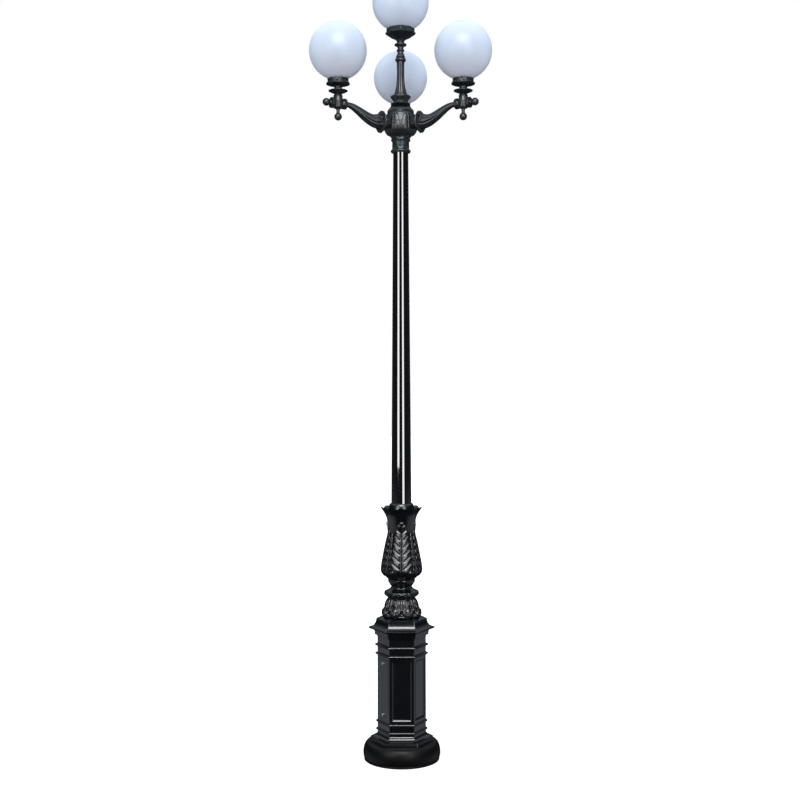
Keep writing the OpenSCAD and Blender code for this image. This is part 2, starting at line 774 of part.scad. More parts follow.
// An arm along +X: a tapering body between a threaded spigot and a plain one.
module arm() {
    color(head_paint) {
        swept_tube(arm_line, arm_radii, channel_r, 12);
        difference() {
            union() {
                translate([0, 0, arm_z]) rod_x(spigot_r, spigot_in, arm_root + 2);
                translate([0, 0, tip_z]) rod_x(arm_spigot_r, arm_end - 3, arm_spigot_end);
            }
            translate([0, 0, arm_z]) rod_x(spigot_bore_r, spigot_in - fit_d, arm_root + 3);
            translate([0, 0, tip_z]) rod_x(spigot_bore_r, arm_end - 4, arm_spigot_end + fit_d);
        }
    }
}
module arm_left() { rotate([0, 0, arm_az[0]]) arm(); }
module arm_right() { rotate([0, 0, arm_az[1]]) arm(); }
module arm_back() { rotate([0, 0, arm_az[2]]) arm(); }

module arm_rosettes() {
    color(head_paint) at_arms() translate([0, 0, arm_z]) difference() {
        translate([boss_face, 0, 0]) rotate([0, 90, 0])
            turned([[40, 0], [50, 3], [57, 8], [54, 12], [arm_root_r + 6, rosette_t]]);
        rod_x(spigot_r + play, boss_face - fit_d, arm_root + fit_d);
    }
}

arm_cable_line = concat(
    [[24, 0, arm_z], [60, 0, arm_z]],
    [for (i = [0:2:arm_steps]) arm_line[i]],
    [[arm_spigot_end - 6, 0, tip_z], [arm_reach - 10, 0, tip_z + 1.5],
     [arm_reach - 3, 0, tip_z + 6.5], [arm_reach, 0, tip_z + 16],
     [arm_reach, 0, cup_z + cup_floor + 9]]);

module arm_cables() {
    color(rubber) at_arms() swept_rod(arm_cable_line, arm_cable_r, 8);
}

// ---------------------------------------------------------------- arm ends

module arm_end_bosses() {
    color(head_paint) at_tips(tip_z) difference() {
        union() {
            translate([0, 0, -27]) turned(concat(arc(18, 9, 9, 9, -90, 0, 4),
                                                 [[27, 40], [23, 60], [19, 78]]));
            rod_x(20, -tip_disc, tip_disc - 2);
            rod_x(28, -tip_disc, -30);
            rod_x(28, 30, tip_disc - 2);
        }
        sphere(r = 13);
        rod_x(arm_spigot_r + snug, -tip_disc - fit_d, -22);
        rod_x(channel_r, -24, 0);
        rod_x(conduit_r + snug, 20, tip_disc);
        translate([0, 0, -27 - fit_d]) cylinder(r = conduit_r + snug, h = 12);
        cylinder(r = channel_r, h = 40);
        translate([0, 0, 27]) cylinder(r = conduit_r + snug, h = 60);
    }
}

// A turned knob on a short neck, with its threaded shank towards -Z.
module knob(neck) {
    translate([0, 0, -9]) cylinder(r = conduit_r, h = 10);
    turned(concat([[13, 0], [13, 3], [9, 6], [9, neck]],
                  arc(0, neck + knob_r - 2, knob_r, knob_r, -64, 90, 8)));
}

module outer_knobs() {
    color(head_paint) at_tips(tip_z) translate([tip_disc - 2, 0, 0]) rotate([0, 90, 0]) knob(8);
}

module pendant_knobs() {
    color(head_paint) at_tips(tip_z - 27) rotate([180, 0, 0]) knob(24);
}

module drip_saucers() {
    color(head_paint) at_tips(saucer_z) difference() {
        turned(concat([[20, 0], [32, 3], [46, 10]], arc(46, 13, 4, 3, -90, 90, 4),
                      [[34, 17], [22, 23]]));
        translate([0, 0, -fit_d]) cylinder(r = conduit_r + snug, h = 26);
    }
}

// ---------------------------------------------------------------- galleries

side_cup = [
    [20.5, 0], [20.5, 12], [30, 16], [50, 20], [cup_in + 11, 24], [cup_in + 11, 29],
    [cup_in + 5, 32], [cup_in + 3.7, 35], [cup_in + 3.7, cup_h]];
side_screw_z = 42;

module side_gallery(i) {
    color(head_paint) rotate([0, 0, arm_az[i]]) translate([arm_reach, 0, cup_z]) difference() {
        turned(side_cup);
        translate([0, 0, cup_floor]) cylinder(r = cup_in, h = cup_h);
        translate([0, 0, -fit_d]) cylinder(r = conduit_r + snug, h = cup_floor + 2 * fit_d);
        for (a = [60:120:300]) rotate([0, 0, a]) translate([0, 0, side_screw_z])
            rod_x(2.2, cup_in - fit_d, cup_in + 12);
    }
}
module gallery_left() { side_gallery(0); }
module gallery_right() { side_gallery(1); }
module gallery_back() { side_gallery(2); }

top_cup = [
    [19, 0], [27, 11], [50.6, 24], [76.5, 38], [82, 45], [82, 48], [76, 54],
    [74.5, top_cup_h]];
top_screw_z = 61;

module top_gallery() {
    color(head_paint) translate([0, 0, top_cup_z]) difference() {
        rotate_extrude($fn = 8) polygon(closed([for (q = top_cup)
            [q[1] > 30 ? q[0] + top_in - 66.6 : q[0], q[1]]]));
        translate([0, 0, top_floor]) cylinder(r = top_in, h = top_cup_h);
        translate([0, 0, -fit_d]) cylinder(r = conduit_r + play, h = top_cup_h);
        for (a = [22.5:90:360]) rotate([0, 0, a]) translate([0, 0, top_screw_z])
            rod_x(2.2, top_in - fit_d, top_in + 12);
    }
}

// A thumb screw along +X whose tip stops play short of the globe's neck.
module thumb_screw(tip, seat) {
    rod_x(2, tip, seat + 1);
    rod_x(6, seat + snug, seat + 7);
}

module gallery_screws() {
    color(brass) {
        at_tips(cup_z + side_screw_z) for (a = [60:120:300]) rotate([0, 0, a])
            thumb_screw(side_neck_r + play, cup_in + 3.7);
        translate([0, 0, top_cup_z + top_screw_z]) for (a = [22.5:90:360]) rotate([0, 0, a])
            thumb_screw(top_neck_r + play, (top_in + 9.3) * cos(22.5));
    }
}

nipple_z = saucer_z - 22;
module gallery_nipples() {
    color(zinc) at_tips(nipple_z)
        ring(conduit_r, conduit_in, cup_z + cup_floor + 8 - nipple_z);
}

module lampholder() {
    difference() {
        turned([[holder_r, 0], [holder_r, 16], [holder_r - 3, 19], [holder_r - 3, holder_h - 4],
                [holder_r - 4.5, holder_h]]);
        translate([0, 0, -fit_d]) cylinder(r = conduit_r + snug, h = 11);
        translate([0, 0, holder_seat - play]) cylinder(r = lamp_cap_r + play, h = holder_h);
    }
}

module lampholders() {
    color("#efe9da") {
        at_tips(cup_z + cup_floor) lampholder();
        translate([0, 0, top_cup_z + top_floor]) lampholder();
    }
}

module globe_seals() {
    color(rubber) {
        at_tips(cup_z + cup_floor) ring(side_neck_r + 1, side_neck_r - 7, seal_h);
        translate([0, 0, top_cup_z + top_floor]) ring(top_neck_r + 1, top_neck_r - 7, seal_h);
    }
}

// ---------------------------------------------------------------- globes and lamps

// A hollow sphere with an open neck that stands on a seal at z = 0, in a cup of this depth.
module globe(neck_r, depth) {
    lift = depth + sqrt(globe_r * globe_r - neck_r * neck_r);
    color(opal) difference() {
        union() {
            translate([0, 0, lift]) sphere(r = globe_r);
            translate([0, 0, seal_h + play]) cylinder(r = neck_r, h = lift - globe_r / 2);
        }
        translate([0, 0, lift]) sphere(r = globe_r - globe_wall);
        cylinder(r = neck_r - globe_wall, h = lift);
    }
}
module side_globe(i) {
    rotate([0, 0, arm_az[i]]) translate([arm_reach, 0, cup_z + cup_floor])
        globe(side_neck_r, cup_h - cup_floor + 4);
}
module globe_left() { side_globe(0); }
module globe_right() { side_globe(1); }
module globe_back() { side_globe(2); }
module globe_top() {
    translate([0, 0, top_cup_z + top_floor]) globe(top_neck_r, top_cup_h - top_floor + 2);
}

// A lamp: a screw cap, a shoulder and a round bulb.
module lamp() {
    color("#f4f4ee") translate([0, 0, holder_seat]) turned(concat(
        [[5, 0], [lamp_cap_r - 1, 3], [lamp_cap_r, 5], [lamp_cap_r, 29]],
        smooth([[lamp_cap_r + 1, 30], [lamp_cap_r + 4, 46], [lamp_bulb_r - 3, 68]], 3),
        arc(0, 83, lamp_bulb_r, lamp_bulb_r, -20, 88, 8)));
}
module side_lamp(i) {
    rotate([0, 0, arm_az[i]]) translate([arm_reach, 0, cup_z + cup_floor]) lamp();
}
module lamp_left() { side_lamp(0); }
module lamp_right() { side_lamp(1); }
module lamp_back() { side_lamp(2); }
module lamp_top() { translate([0, 0, top_cup_z + top_floor]) lamp(); }

// ---------------------------------------------------------------- the nodes

base_disc();
pedestal();
base_bolts();
access_door();
door_gasket();
door_screw_upper();
door_screw_lower();
pedestal_cap();
cap_bolts();
core_tube();
core_flange();
core_bolts();
tube_grommet();
gear_board();
board_clamps();
terminal_box();
fuse_carrier();
cable_glands();
earth_stud();
riser_cable();
leaf_collar();
urn();
pole_through_bolt();
weather_collar();
pole();
pole_foot_ring();
pole_guide_ring();
hub();
hub_set_screws();
hub_connector();
head_lock_nuts();
coronet();
stem();
stem_conduit();
stem_cable();
arm_rosettes();
arm_left();
arm_right();
arm_back();
arm_cables();
arm_end_bosses();
outer_knobs();
pendant_knobs();
drip_saucers();
gallery_left();
gallery_right();
gallery_back();
top_gallery();
gallery_screws();
gallery_nipples();
lampholders();
globe_seals();
globe_left();
globe_right();
globe_back();
globe_top();
lamp_left();
lamp_right();
lamp_back();
lamp_top();
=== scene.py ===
import math

import bpy
import numpy as np
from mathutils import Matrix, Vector


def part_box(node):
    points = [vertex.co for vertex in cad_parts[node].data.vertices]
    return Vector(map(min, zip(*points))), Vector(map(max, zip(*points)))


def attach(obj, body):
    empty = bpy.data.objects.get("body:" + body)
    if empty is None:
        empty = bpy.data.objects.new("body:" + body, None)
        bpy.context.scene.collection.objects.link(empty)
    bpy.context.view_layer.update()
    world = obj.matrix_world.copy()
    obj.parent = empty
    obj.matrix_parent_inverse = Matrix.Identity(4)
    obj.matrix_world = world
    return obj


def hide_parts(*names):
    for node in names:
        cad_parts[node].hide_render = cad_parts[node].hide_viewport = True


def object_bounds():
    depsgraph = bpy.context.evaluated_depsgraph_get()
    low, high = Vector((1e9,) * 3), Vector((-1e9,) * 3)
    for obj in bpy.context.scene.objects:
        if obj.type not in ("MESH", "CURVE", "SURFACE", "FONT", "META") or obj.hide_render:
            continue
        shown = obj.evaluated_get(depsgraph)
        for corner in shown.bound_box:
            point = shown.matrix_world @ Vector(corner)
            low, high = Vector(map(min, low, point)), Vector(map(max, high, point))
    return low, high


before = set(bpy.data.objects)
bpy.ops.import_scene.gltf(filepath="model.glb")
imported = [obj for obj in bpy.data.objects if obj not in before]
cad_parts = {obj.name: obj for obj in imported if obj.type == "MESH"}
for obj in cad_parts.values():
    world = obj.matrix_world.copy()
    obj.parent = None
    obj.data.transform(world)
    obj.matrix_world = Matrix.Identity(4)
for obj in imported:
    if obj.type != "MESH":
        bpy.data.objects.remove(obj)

cad_low, cad_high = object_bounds()
mm = 0.001

# ----------------------------------------
# The studio: a camera two metres up in front, two tall strip lights and an overhead
# one that only gloss shows, broad soft panels that light the globes evenly from all
# round, and a pale sky and floor.

eye = Vector((-0.0062, -6.5, 2.011))
eye_tilt, eye_roll = math.radians(0.75), math.radians(0.11)
camera_data = bpy.data.cameras.new("camera")
camera_data.sensor_width = 36.0
camera_data.lens = 54.56
camera = bpy.data.objects.new("camera", camera_data)
camera.location = eye
camera.rotation_euler = (math.radians(90) - eye_tilt, eye_roll, 0)
bpy.context.scene.collection.objects.link(camera)
bpy.context.scene.camera = camera
bpy.context.scene.view_settings.view_transform = "Standard"


def feed(socket, value):
    """Links a socket to another node's output, or sets it to a plain value."""
    if isinstance(value, bpy.types.NodeSocket):
        socket.id_data.links.new(value, socket)
    else:
        socket.default_value = value


class Finish:
    """A material being built: a principled shader and the nodes that feed it, and the name
    of a slot, which it only stores."""

    def __init__(self, name, slot=None):
        self.slot = slot
        self.material = bpy.data.materials.new(name)
        self.material.use_nodes = True
        self.tree = self.material.node_tree
        self.shader = self.tree.nodes["Principled BSDF"]
        self.place = self.node("ShaderNodeTexCoord").outputs["Object"]

    def node(self, kind, **inputs):
        """A node with its inputs fed, by name, or by number where the key is _ and a number."""
        made = self.tree.nodes.new(kind)
        for key, value in inputs.items():
            feed(made.inputs[int(key[1:])] if key[0] == "_" else made.inputs[key], value)
        return made

    def noise(self, scale, detail=3.0, rough=0.55):
        """Cloudy noise over the piece; scale is in waves to the metre."""
        made = self.node("ShaderNodeTexNoise", Vector=self.place, Scale=scale, Detail=detail,
                         Roughness=rough)
        return made.outputs["Fac"]

    def spread(self, value, low, high, start=0.3, end=0.7):
        """Carries a value between start and end over to between low and high."""
        made = self.node("ShaderNodeMapRange", Value=value, _1=start, _2=end, _3=low, _4=high)
        return made.outputs["Result"]

    def blend(self, factor, first, second):
        """Mixes two colours, each given as red, green and blue, by a factor."""
        made = self.tree.nodes.new("ShaderNodeMix")
        made.data_type = "RGBA"
        for index, value in ((0, factor), (6, (*first, 1)), (7, (*second, 1))):
            feed(made.inputs[index], value)
        return made.outputs[2]

    def bump(self, height, strength, depth):
        """Fine relief, depth in metres, on top of any relief already there."""
        made = self.node("ShaderNodeBump", Height=height, Strength=strength, Distance=depth)
        before = self.shader.inputs["Normal"]
        if before.is_linked:
            self.tree.links.new(before.links[0].from_socket, made.inputs["Normal"])
        self.tree.links.new(made.outputs["Normal"], before)

    def set(self, **inputs):
        """Feeds the shader's own sockets; spaces in their names are underscores."""
        for key, value in inputs.items():
            feed(self.shader.inputs[key.replace("_", " ")], value)

    def mottle(self, patches, dark, light, grain, smooth, rough, **others):
        """Colour wanders from dark to light with one pattern, roughness with another."""
        self.set(Base_Color=self.blend(patches, dark, light),
                 Roughness=self.spread(grain, smooth, rough), **others)


def softbox(name, place, aim, size, power, tint=(1, 1, 1), gloss=True):
    """A flat rectangular light that the camera itself doesn't see. It shows as a mirror image
    in glossy paint, or else it gives matt light only."""
    data = bpy.data.lights.new(name, "AREA")
    data.shape = "RECTANGLE"
    data.size, data.size_y = size
    data.energy = power
    data.color = tint
    light = bpy.data.objects.new(name, data)
    light.location = place
    light.rotation_euler = (Vector(aim) - Vector(place)).to_track_quat("-Z", "Y").to_euler()
    light.visible_camera = False
    light.visible_glossy, light.visible_diffuse = gloss, not gloss
    bpy.context.scene.collection.objects.link(light)


softbox("left_strip", (-2.75, -4.0, 2.95), (0, 0, 2.95), (2.0, 3.3), 118)
softbox("right_strip", (1.95, -4.4, 2.6), (0, 0, 2.6), (1.8, 3.9), 125)
softbox("overhead", (0, -4.2, 6.1), (0, 0, 1.0), (3.4, 2.6), 420)
globes = (0, 0, 3.7)
softbox("front_panel", (0, -7.0, 4.6), globes, (6, 5), 215, (0.8, 0.92, 1), gloss=False)
softbox("sky_panel", (0, -2.4, 8.6), globes, (8, 8), 290, (0.95, 0.98, 1), gloss=False)
softbox("ground_panel", (0, -2.5, -1.0), globes, (6, 6), 150, (1, 0.9, 0.92), gloss=False)
for side in (-1, 1):
    softbox("side_panel", (6.5 * side, -1.0, 4.6), globes, (5, 5), 190, (0.84, 0.93, 1),
            gloss=False)

sky = bpy.data.worlds.new("studio")
sky.use_nodes = True
sky_nodes = sky.node_tree.nodes
way = sky_nodes.new("ShaderNodeSeparateXYZ")
feed(way.inputs[0], sky_nodes.new("ShaderNodeTexCoord").outputs["Generated"])


def sky_maths(kind, first, second):
    """One arithmetic step on the sky's direction."""
    made = sky_nodes.new("ShaderNodeMath")
    made.operation = kind
    feed(made.inputs[0], first)
    feed(made.inputs[1], second)
    return made.outputs[0]


def sky_ramp(value, start, end, low, high):
    """A smooth ramp of the sky's direction, from low at start to high at end."""
    made = sky_nodes.new("ShaderNodeMapRange")
    made.interpolation_type = "SMOOTHSTEP"
    for index, number in enumerate((value, start, end, low, high)):
        feed(made.inputs[index], number)
    return made.outputs[0]


sideways = sky_ramp(sky_maths("ABSOLUTE", way.outputs["X"], 0.0), 0.55, 0.9, 0.0, 1.0)
below = sky_ramp(way.outputs["Z"], -0.2, -0.06, 1.0, 0.0)
overhead = sky_ramp(way.outputs["Z"], 0.25, 0.85, 0.0, 1.0)
glow = sky_maths("MULTIPLY", sky_maths("MULTIPLY", sideways, below), 0.55)
lit_sky, white_sky = sky_nodes["Background"], sky_nodes.new("ShaderNodeBackground")
feed(lit_sky.inputs["Color"], (0.86, 0.92, 1.0, 1))
feed(lit_sky.inputs["Strength"], sky_maths("ADD", sky_maths("ADD", glow, overhead), 0.03))
feed(white_sky.inputs["Color"], (1, 1, 1, 1))
feed(white_sky.inputs["Strength"], 1.0)
either = sky_nodes.new("ShaderNodeMixShader")
feed(either.inputs[0], sky_nodes.new("ShaderNodeLightPath").outputs["Is Camera Ray"])
feed(either.inputs[1], lit_sky.outputs[0])
feed(either.inputs[2], white_sky.outputs[0])
feed(sky_nodes["World Output"].inputs["Surface"], either.outputs[0])
bpy.context.scene.world = sky

floor_reach = 40.0
floor_mesh = bpy.data.meshes.new("floor")
corners = [(x * floor_reach, y * floor_reach, cad_low.z - 0.0003)
           for x, y in ((-1, -1), (1, -1), (1, 1), (-1, 1))]
floor_mesh.from_pydata(corners, [], [(0, 1, 2, 3)])
floor = bpy.data.objects.new("floor", floor_mesh)
bpy.context.scene.collection.objects.link(floor)
paper = Finish("pale_floor")
away = paper.node("ShaderNodeVectorMath", _0=paper.place)
away.operation = "LENGTH"
fibre = paper.noise(40, 3)
paper.set(Base_Color=paper.blend(fibre, (0.5, 0.5, 0.5), (0.55, 0.55, 0.55)),
          Roughness=0.9, Specular_IOR_Level=0.0, Emission_Color=(1, 1, 1, 1),
          Emission_Strength=paper.spread(away.outputs["Value"], 0.7, 1.0, 0.5, 2.2))
floor_mesh.materials.append(paper.material)
floor.visible_glossy = floor.visible_diffuse = floor.visible_shadow = False

# ----------------------------------------
# Base disc: a hollow grey-iron casting with a bulging rim, a plate on top that
# the pedestal bolts to, and four anchor holes in its floor. Tarred against damp,
# where the castings above it are painted satin black.


def curve(points, steps=6):
    """A smooth curve through the points: each stretch is a cubic whose slopes at its two
    ends are half the distance between the neighbours on either side (Catmull-Rom)."""
    p = np.asarray(points, float)
    p = np.vstack([p[:1], p, p[-1:]])
    t = (np.arange(steps) / steps)[:, None]
    out = []
    for a, b, c, d in zip(p, p[1:], p[2:], p[3:]):
        out.append(0.5 * (2 * b + (c - a) * t + (2 * a - 5 * b + 4 * c - d) * t ** 2
                          + (3 * b - a - 3 * c + d) * t ** 3))
    return np.vstack([*out, p[-1:]])


def arc(cx, cz, rx, rz, start, end, steps=10):
    """Points on an ellipse round (cx, cz), from one angle to another, in degrees."""
    a = np.radians(np.linspace(start, end, steps + 1))
    return np.stack([cx + rx * np.cos(a), cz + rz * np.sin(a)], 1)


def join(*stretches):
    """One outline from several, and single points between them."""
    return np.vstack([np.atleast_2d(np.asarray(s, float)) for s in stretches])


def turned(outline, azimuths):
    """Turns an outline of (radius, height) rows round the upright axis: each point goes to
    radius times the cosine and sine of every azimuth, at its own height."""
    r, z = outline[:, :1], outline[:, 1:2]
    return np.stack([r * np.cos(azimuths), r * np.sin(azimuths), z + 0 * azimuths], -1)


def straight(radius, start, end):
    """The outline of a straight rod."""
    return np.array([[radius, start], [radius, end]])


def round_angles(count):
    """Evenly spaced azimuths, in radians, the first at the front."""
    return np.arange(count) * 2 * math.pi / count - math.pi / 2


def shell(grid, loop=True):
    """A closed skin over a grid of points shaped (rows, columns, 3), in millimetres. Columns
    close on themselves. Rows do too if loop is true; if not, a fan closes each end.
    The faces are turned so that the enclosed volume is positive."""
    rows, columns = grid.shape[:2]
    index = np.arange(rows * columns).reshape(rows, columns)
    lines = np.vstack([index, index[:1]]) if loop else index
    a, b = lines[:-1], lines[1:]
    quads = np.stack([a, np.roll(a, -1, 1), np.roll(b, -1, 1), b], -1).reshape(-1, 4)
    points = grid.reshape(-1, 3)
    p = points[quads]
    middle = points.mean(0)
    swept = np.einsum("ij,ij->i", p[:, 0] - middle, np.cross(p[:, 1] - middle, p[:, 2] - middle))
    swept += np.einsum("ij,ij->i", p[:, 0] - middle, np.cross(p[:, 2] - middle, p[:, 3] - middle))
    faces = quads.tolist()
    if not loop:
        points = np.vstack([points, grid[0].mean(0), grid[-1].mean(0)])
        size = rows * columns
        first, last = index[0].tolist(), index[-1].tolist()
        faces += [(first[i - 1], size, first[i])[::-1] for i in range(columns)]
        faces += [(last[i], size + 1, last[i - 1])[::-1] for i in range(columns)]
    if swept.sum() < 0:
        faces = [f[::-1] for f in faces]
    return points, faces


def piece(name, shells, finish, body="post", nodes=(), crease=38):
    """One object from closed skins given in millimetres. Edges sharper than crease degrees
    stay sharp. It takes its finish's material, rides on a body and stands for CAD nodes."""
    points, faces, count = [], [], 0
    for p, f in shells:
        points.append(p)
        faces += [[i + count for i in face] for face in f]
        count += len(p)
    mesh = bpy.data.meshes.new(name)
    mesh.from_pydata((np.vstack(points) * mm).tolist(), [], faces)
    mesh.shade_smooth()
    mesh.set_sharp_from_angle(angle=math.radians(crease))
    made = bpy.data.objects.new(name, mesh)
    bpy.context.scene.collection.objects.link(made)
    mesh.materials.append(finish.material)
    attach(made, body)
    if nodes:
        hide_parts(*nodes)
    return made


def drill(made, cutters, crease=38):
    """Cuts closed skins, in millimetres, out of a piece, and keeps its material."""
    tools = []
    for points, faces in cutters:
        mesh = bpy.data.meshes.new("cutter")
        mesh.from_pydata((points * mm).tolist(), [], faces)
        tool = bpy.data.objects.new("cutter", mesh)
        bpy.context.scene.collection.objects.link(tool)
        cut = made.modifiers.new("cut", "BOOLEAN")
        cut.operation, cut.solver, cut.object = "DIFFERENCE", "EXACT", tool
        tools.append(tool)
    bpy.context.view_layer.update()
    graph = bpy.context.evaluated_depsgraph_get()
    cut_mesh = bpy.data.meshes.new_from_object(made.evaluated_get(graph))
    made.modifiers.clear()
    made.data = cut_mesh
    for tool in tools:
        bpy.data.objects.remove(tool)
    cut_mesh.shade_smooth()
    cut_mesh.set_sharp_from_angle(angle=math.radians(crease))


def upright(radius, low, high, x=0.0, y=0.0, sides=40):
    """A closed upright cylinder in millimetres."""
    return shell(turned(straight(radius, low, high), round_angles(sides)) + (x, y, 0), loop=False)


cast_black = Finish("cast_iron_satin_black", "base_iron")
sand = cast_black.noise(620, 2)
cloud = cast_black.spread(cast_black.noise(9, 4), 0, 1)
cast_black.mottle(cloud, (0.0008, 0.001, 0.0018), (0.0022, 0.0027, 0.004), sand, 0.17, 0.27,
                  Specular_IOR_Level=0.62)
cast_black.bump(sand, 0.2, 0.0003)
cast_black.bump(cast_black.noise(70, 2), 0.2, 0.0007)
tarred = Finish("cast_iron_tarred", "base_iron")
pitch = tarred.noise(480, 3)
tarred.mottle(pitch, (0.0006, 0.0006, 0.0008), (0.002, 0.002, 0.0024), pitch, 0.34, 0.5,
              Specular_IOR_Level=0.16)
tarred.bump(pitch, 0.3, 0.0004)

disc_edge, disc_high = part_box("base_disc")[1].x / mm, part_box("base_disc")[1].z / mm
disc_top, disc_wall, disc_plate, disc_floor = 178, 13, 12, 16
anchor_circle, anchor_hole, cable_entry = 160, 9, 32
seat_opening = 98.3


def disc_side(inset):
    """The disc's side: a short upright foot, a swell, and a quarter of an ellipse on top."""
    edge = disc_edge - inset
    return join([edge - 7, 0], arc(edge - 9, 2, 2, 2, -90, 0, 3) + (2, 0),
                [edge - 6.5, 9], [edge - 7.2, 10.4],
                arc(edge - 7, 38, 7, 27, -84, 0, 8),
                arc(disc_top - inset, 38, disc_edge - disc_top, disc_high - 38, 4, 90, 18))


inner_side = disc_side(disc_wall)
inner_side = inner_side[(inner_side[:, 1] > disc_floor + 1)
                        & (inner_side[:, 1] < disc_high - disc_plate)]
disc_outline = join(
    [cable_entry + 1, 0], disc_side(0), [seat_opening + 1, disc_high],
    [seat_opening, disc_high - 1], [seat_opening, disc_high - disc_plate],
    [inner_side[-1, 0], disc_high - disc_plate], inner_side[::-1],
    [inner_side[0, 0], disc_floor], [cable_entry, disc_floor], [cable_entry, 1])
base_disc = piece("base_disc_casting", [shell(turned(disc_outline, round_angles(192)))],
                  tarred, nodes=["base_disc"])
diagonals = np.radians([45, 135, 225, 315])
drill(base_disc, [upright(anchor_hole, -4, disc_floor + 4, anchor_circle / 2 * math.cos(a),
                          anchor_circle / 2 * math.sin(a)) for a in diagonals])

# ----------------------------------------
# Pedestal: one hexagonal iron casting, flat to the front. Five faces have a
# sunk panel with a bevelled edge, and the left front face has the door's rebate,
# the hand hole and two tapped bosses. Two rounded beads run round each end.

ped_low, ped_high = (v.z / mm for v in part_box("pedestal"))
shaft = 131.0
shaft_flat = shaft * math.cos(math.radians(30))
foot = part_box("pedestal")[1].x / mm
door_azimuth = math.radians(210)
face_azimuths = np.radians([30, 90, 150, 210, 270, 330])
panel_half = 54.0
panel_low, panel_high = 224.5, 546.5
panel_middle = (panel_low + panel_high) / 2
rebate = 6.0
ped_wall = 11.0
edge_softness = 90.0


def flat_sided(azimuths, faces, softness):
    """How far a polygon of unit apothem reaches in each direction. The reach is one over the
    root of a sum: the cosines of the angles to its faces, each raised to a high power, the
    softness. The corners come out slightly rounded."""
    cosines = np.cos(azimuths[None, :] - faces[:, None]).clip(0)
    return (cosines ** softness).sum(0) ** (-1 / softness)


def face_columns(marks, apothem):
    """Azimuths for a hexagonal grid: on each face at the marks, given in millimetres from the
    face's middle at that apothem, and at every corner."""
    across = np.sort(np.concatenate([-np.asarray(marks), [0], marks]))
    steps = np.append(np.arctan(across / apothem), math.radians(30))
    return np.concatenate([a + steps for a in face_azimuths])


def hexed(outline, azimuths):
    """Carries an outline of (corner radius, height) rows round the softened hexagon."""
    reach = flat_sided(azimuths, face_azimuths, edge_softness) * math.cos(math.radians(30))
    r = outline[:, :1] * reach
    return np.stack([r * np.cos(azimuths), r * np.sin(azimuths), outline[:, 1:2] + 0 * r], -1)


def bead(radius, height, out, half):
    """A half-round bead between two small quirks."""
    return join([radius, height - half - 1.5], [radius - 1, height - half - 1],
                arc(radius - 1, height, out + 1, half, -90, 90, 10),
                [radius - 1, height + half + 1], [radius, height + half + 1.5])


panel_steps = np.array([0, 0.4, 2.4, 4.8, 7.4, 10.0])
panel_depths = np.array([0, 1.4, 1.4, 2.9, 4.5, rebate])
marks = np.concatenate([panel_half - panel_steps, [15, 30, 49.5, 56, 59, 62, 64, 65]])
ped_columns = face_columns(marks, shaft_flat)

shaft_rows = np.concatenate([panel_low + panel_steps, panel_high - panel_steps,
                             np.linspace(panel_low + 14, panel_high - 14, 13)])
shaft_rows = np.stack([np.full(len(shaft_rows), shaft), np.sort(shaft_rows)], 1)
ped_outline = join(
    [foot - 1, 0], [foot, 1], [foot - 3.5, 17], [foot - 5, 18.2], [foot - 6.5, 25],
    arc(foot - 6.5, 45, foot - 9.5 - shaft, 20, 270, 182, 12), [shaft, 47.5],
    bead(shaft, 65, 9, 7), bead(shaft, 108, 9, 7),
    shaft_rows - (0, ped_low),
    bead(shaft, ped_high - ped_low - 89, 12.5, 7.5), bead(shaft, ped_high - ped_low - 42, 14, 7.5),
    [shaft, ped_high - ped_low]) + (0, ped_low)
side = hexed(ped_outline, ped_columns)
turn_to_face = ped_columns[:, None] - face_azimuths[None, :]
facing = np.cos(turn_to_face).argmax(1)
across = shaft_flat * np.tan(turn_to_face[np.arange(len(ped_columns)), facing])
from_end = np.minimum(ped_outline[:, 1] - panel_low, panel_high - ped_outline[:, 1])
margin = np.minimum(panel_half - np.abs(across)[None, :], from_end[:, None])
sunk = np.interp(margin, panel_steps, panel_depths)
door_face = facing == int(np.argmin(np.abs(face_azimuths - door_azimuth)))
sunk[:, door_face] = np.interp(margin[:, door_face], [0, 0.4], [0, rebate])
inwards = np.stack([np.cos(face_azimuths[facing]), np.sin(face_azimuths[facing]), 0 * across], -1)
side = side - sunk[..., None] * inwards

void = shaft - ped_wall / math.cos(math.radians(30))
flange = 10.0
ring = turned(straight(seat_opening, ped_high, ped_high - flange), ped_columns)
core = hexed(join(straight(void, ped_high - flange, ped_high - flange - 2),
                  straight(void, ped_low + flange + 2, ped_low + flange)), ped_columns)
low_ring = turned(straight(seat_opening, ped_low + flange, ped_low), ped_columns)


def swung(points, azimuth):
    """Swings points that lie along +X round the upright axis to an azimuth."""
    c, s = math.cos(azimuth), math.sin(azimuth)
    return points @ np.array([[c, s, 0], [-s, c, 0], [0, 0, 1]])


def radial(outline, azimuth, height, out=0.0, sides=64, ripple=None, loop=False):
    """A closed solid turned round a level line that leaves the post's axis at an azimuth.
    The outline is (radius, distance) rows, and ripple multiplies the radius by an angle."""
    angles = round_angles(sides)
    grid = turned(outline, angles)
    if ripple is not None:
        grid[..., :2] *= ripple(angles, outline[:, 1])[..., None]
    return shell(swung(grid[..., [2, 0, 1]] + (out, 0, height), azimuth), loop=loop)


def door_rods(radius, start, end):
    """Rods through both of the door's screw places, square to its face."""
    return [radial(straight(radius, start, end), door_azimuth, z, sides=36) for z in screw_heights]


def door_block(start, end, half_width, low, high):
    """A closed block square to the door's face, from start to end out from the axis."""
    ring = np.array([[start, -half_width], [end, -half_width], [end, half_width],
                     [start, half_width]])
    grid = np.stack([np.column_stack([ring, np.full(4, z)]) for z in (low, high)])
    return shell(swung(grid, door_azimuth), loop=False)


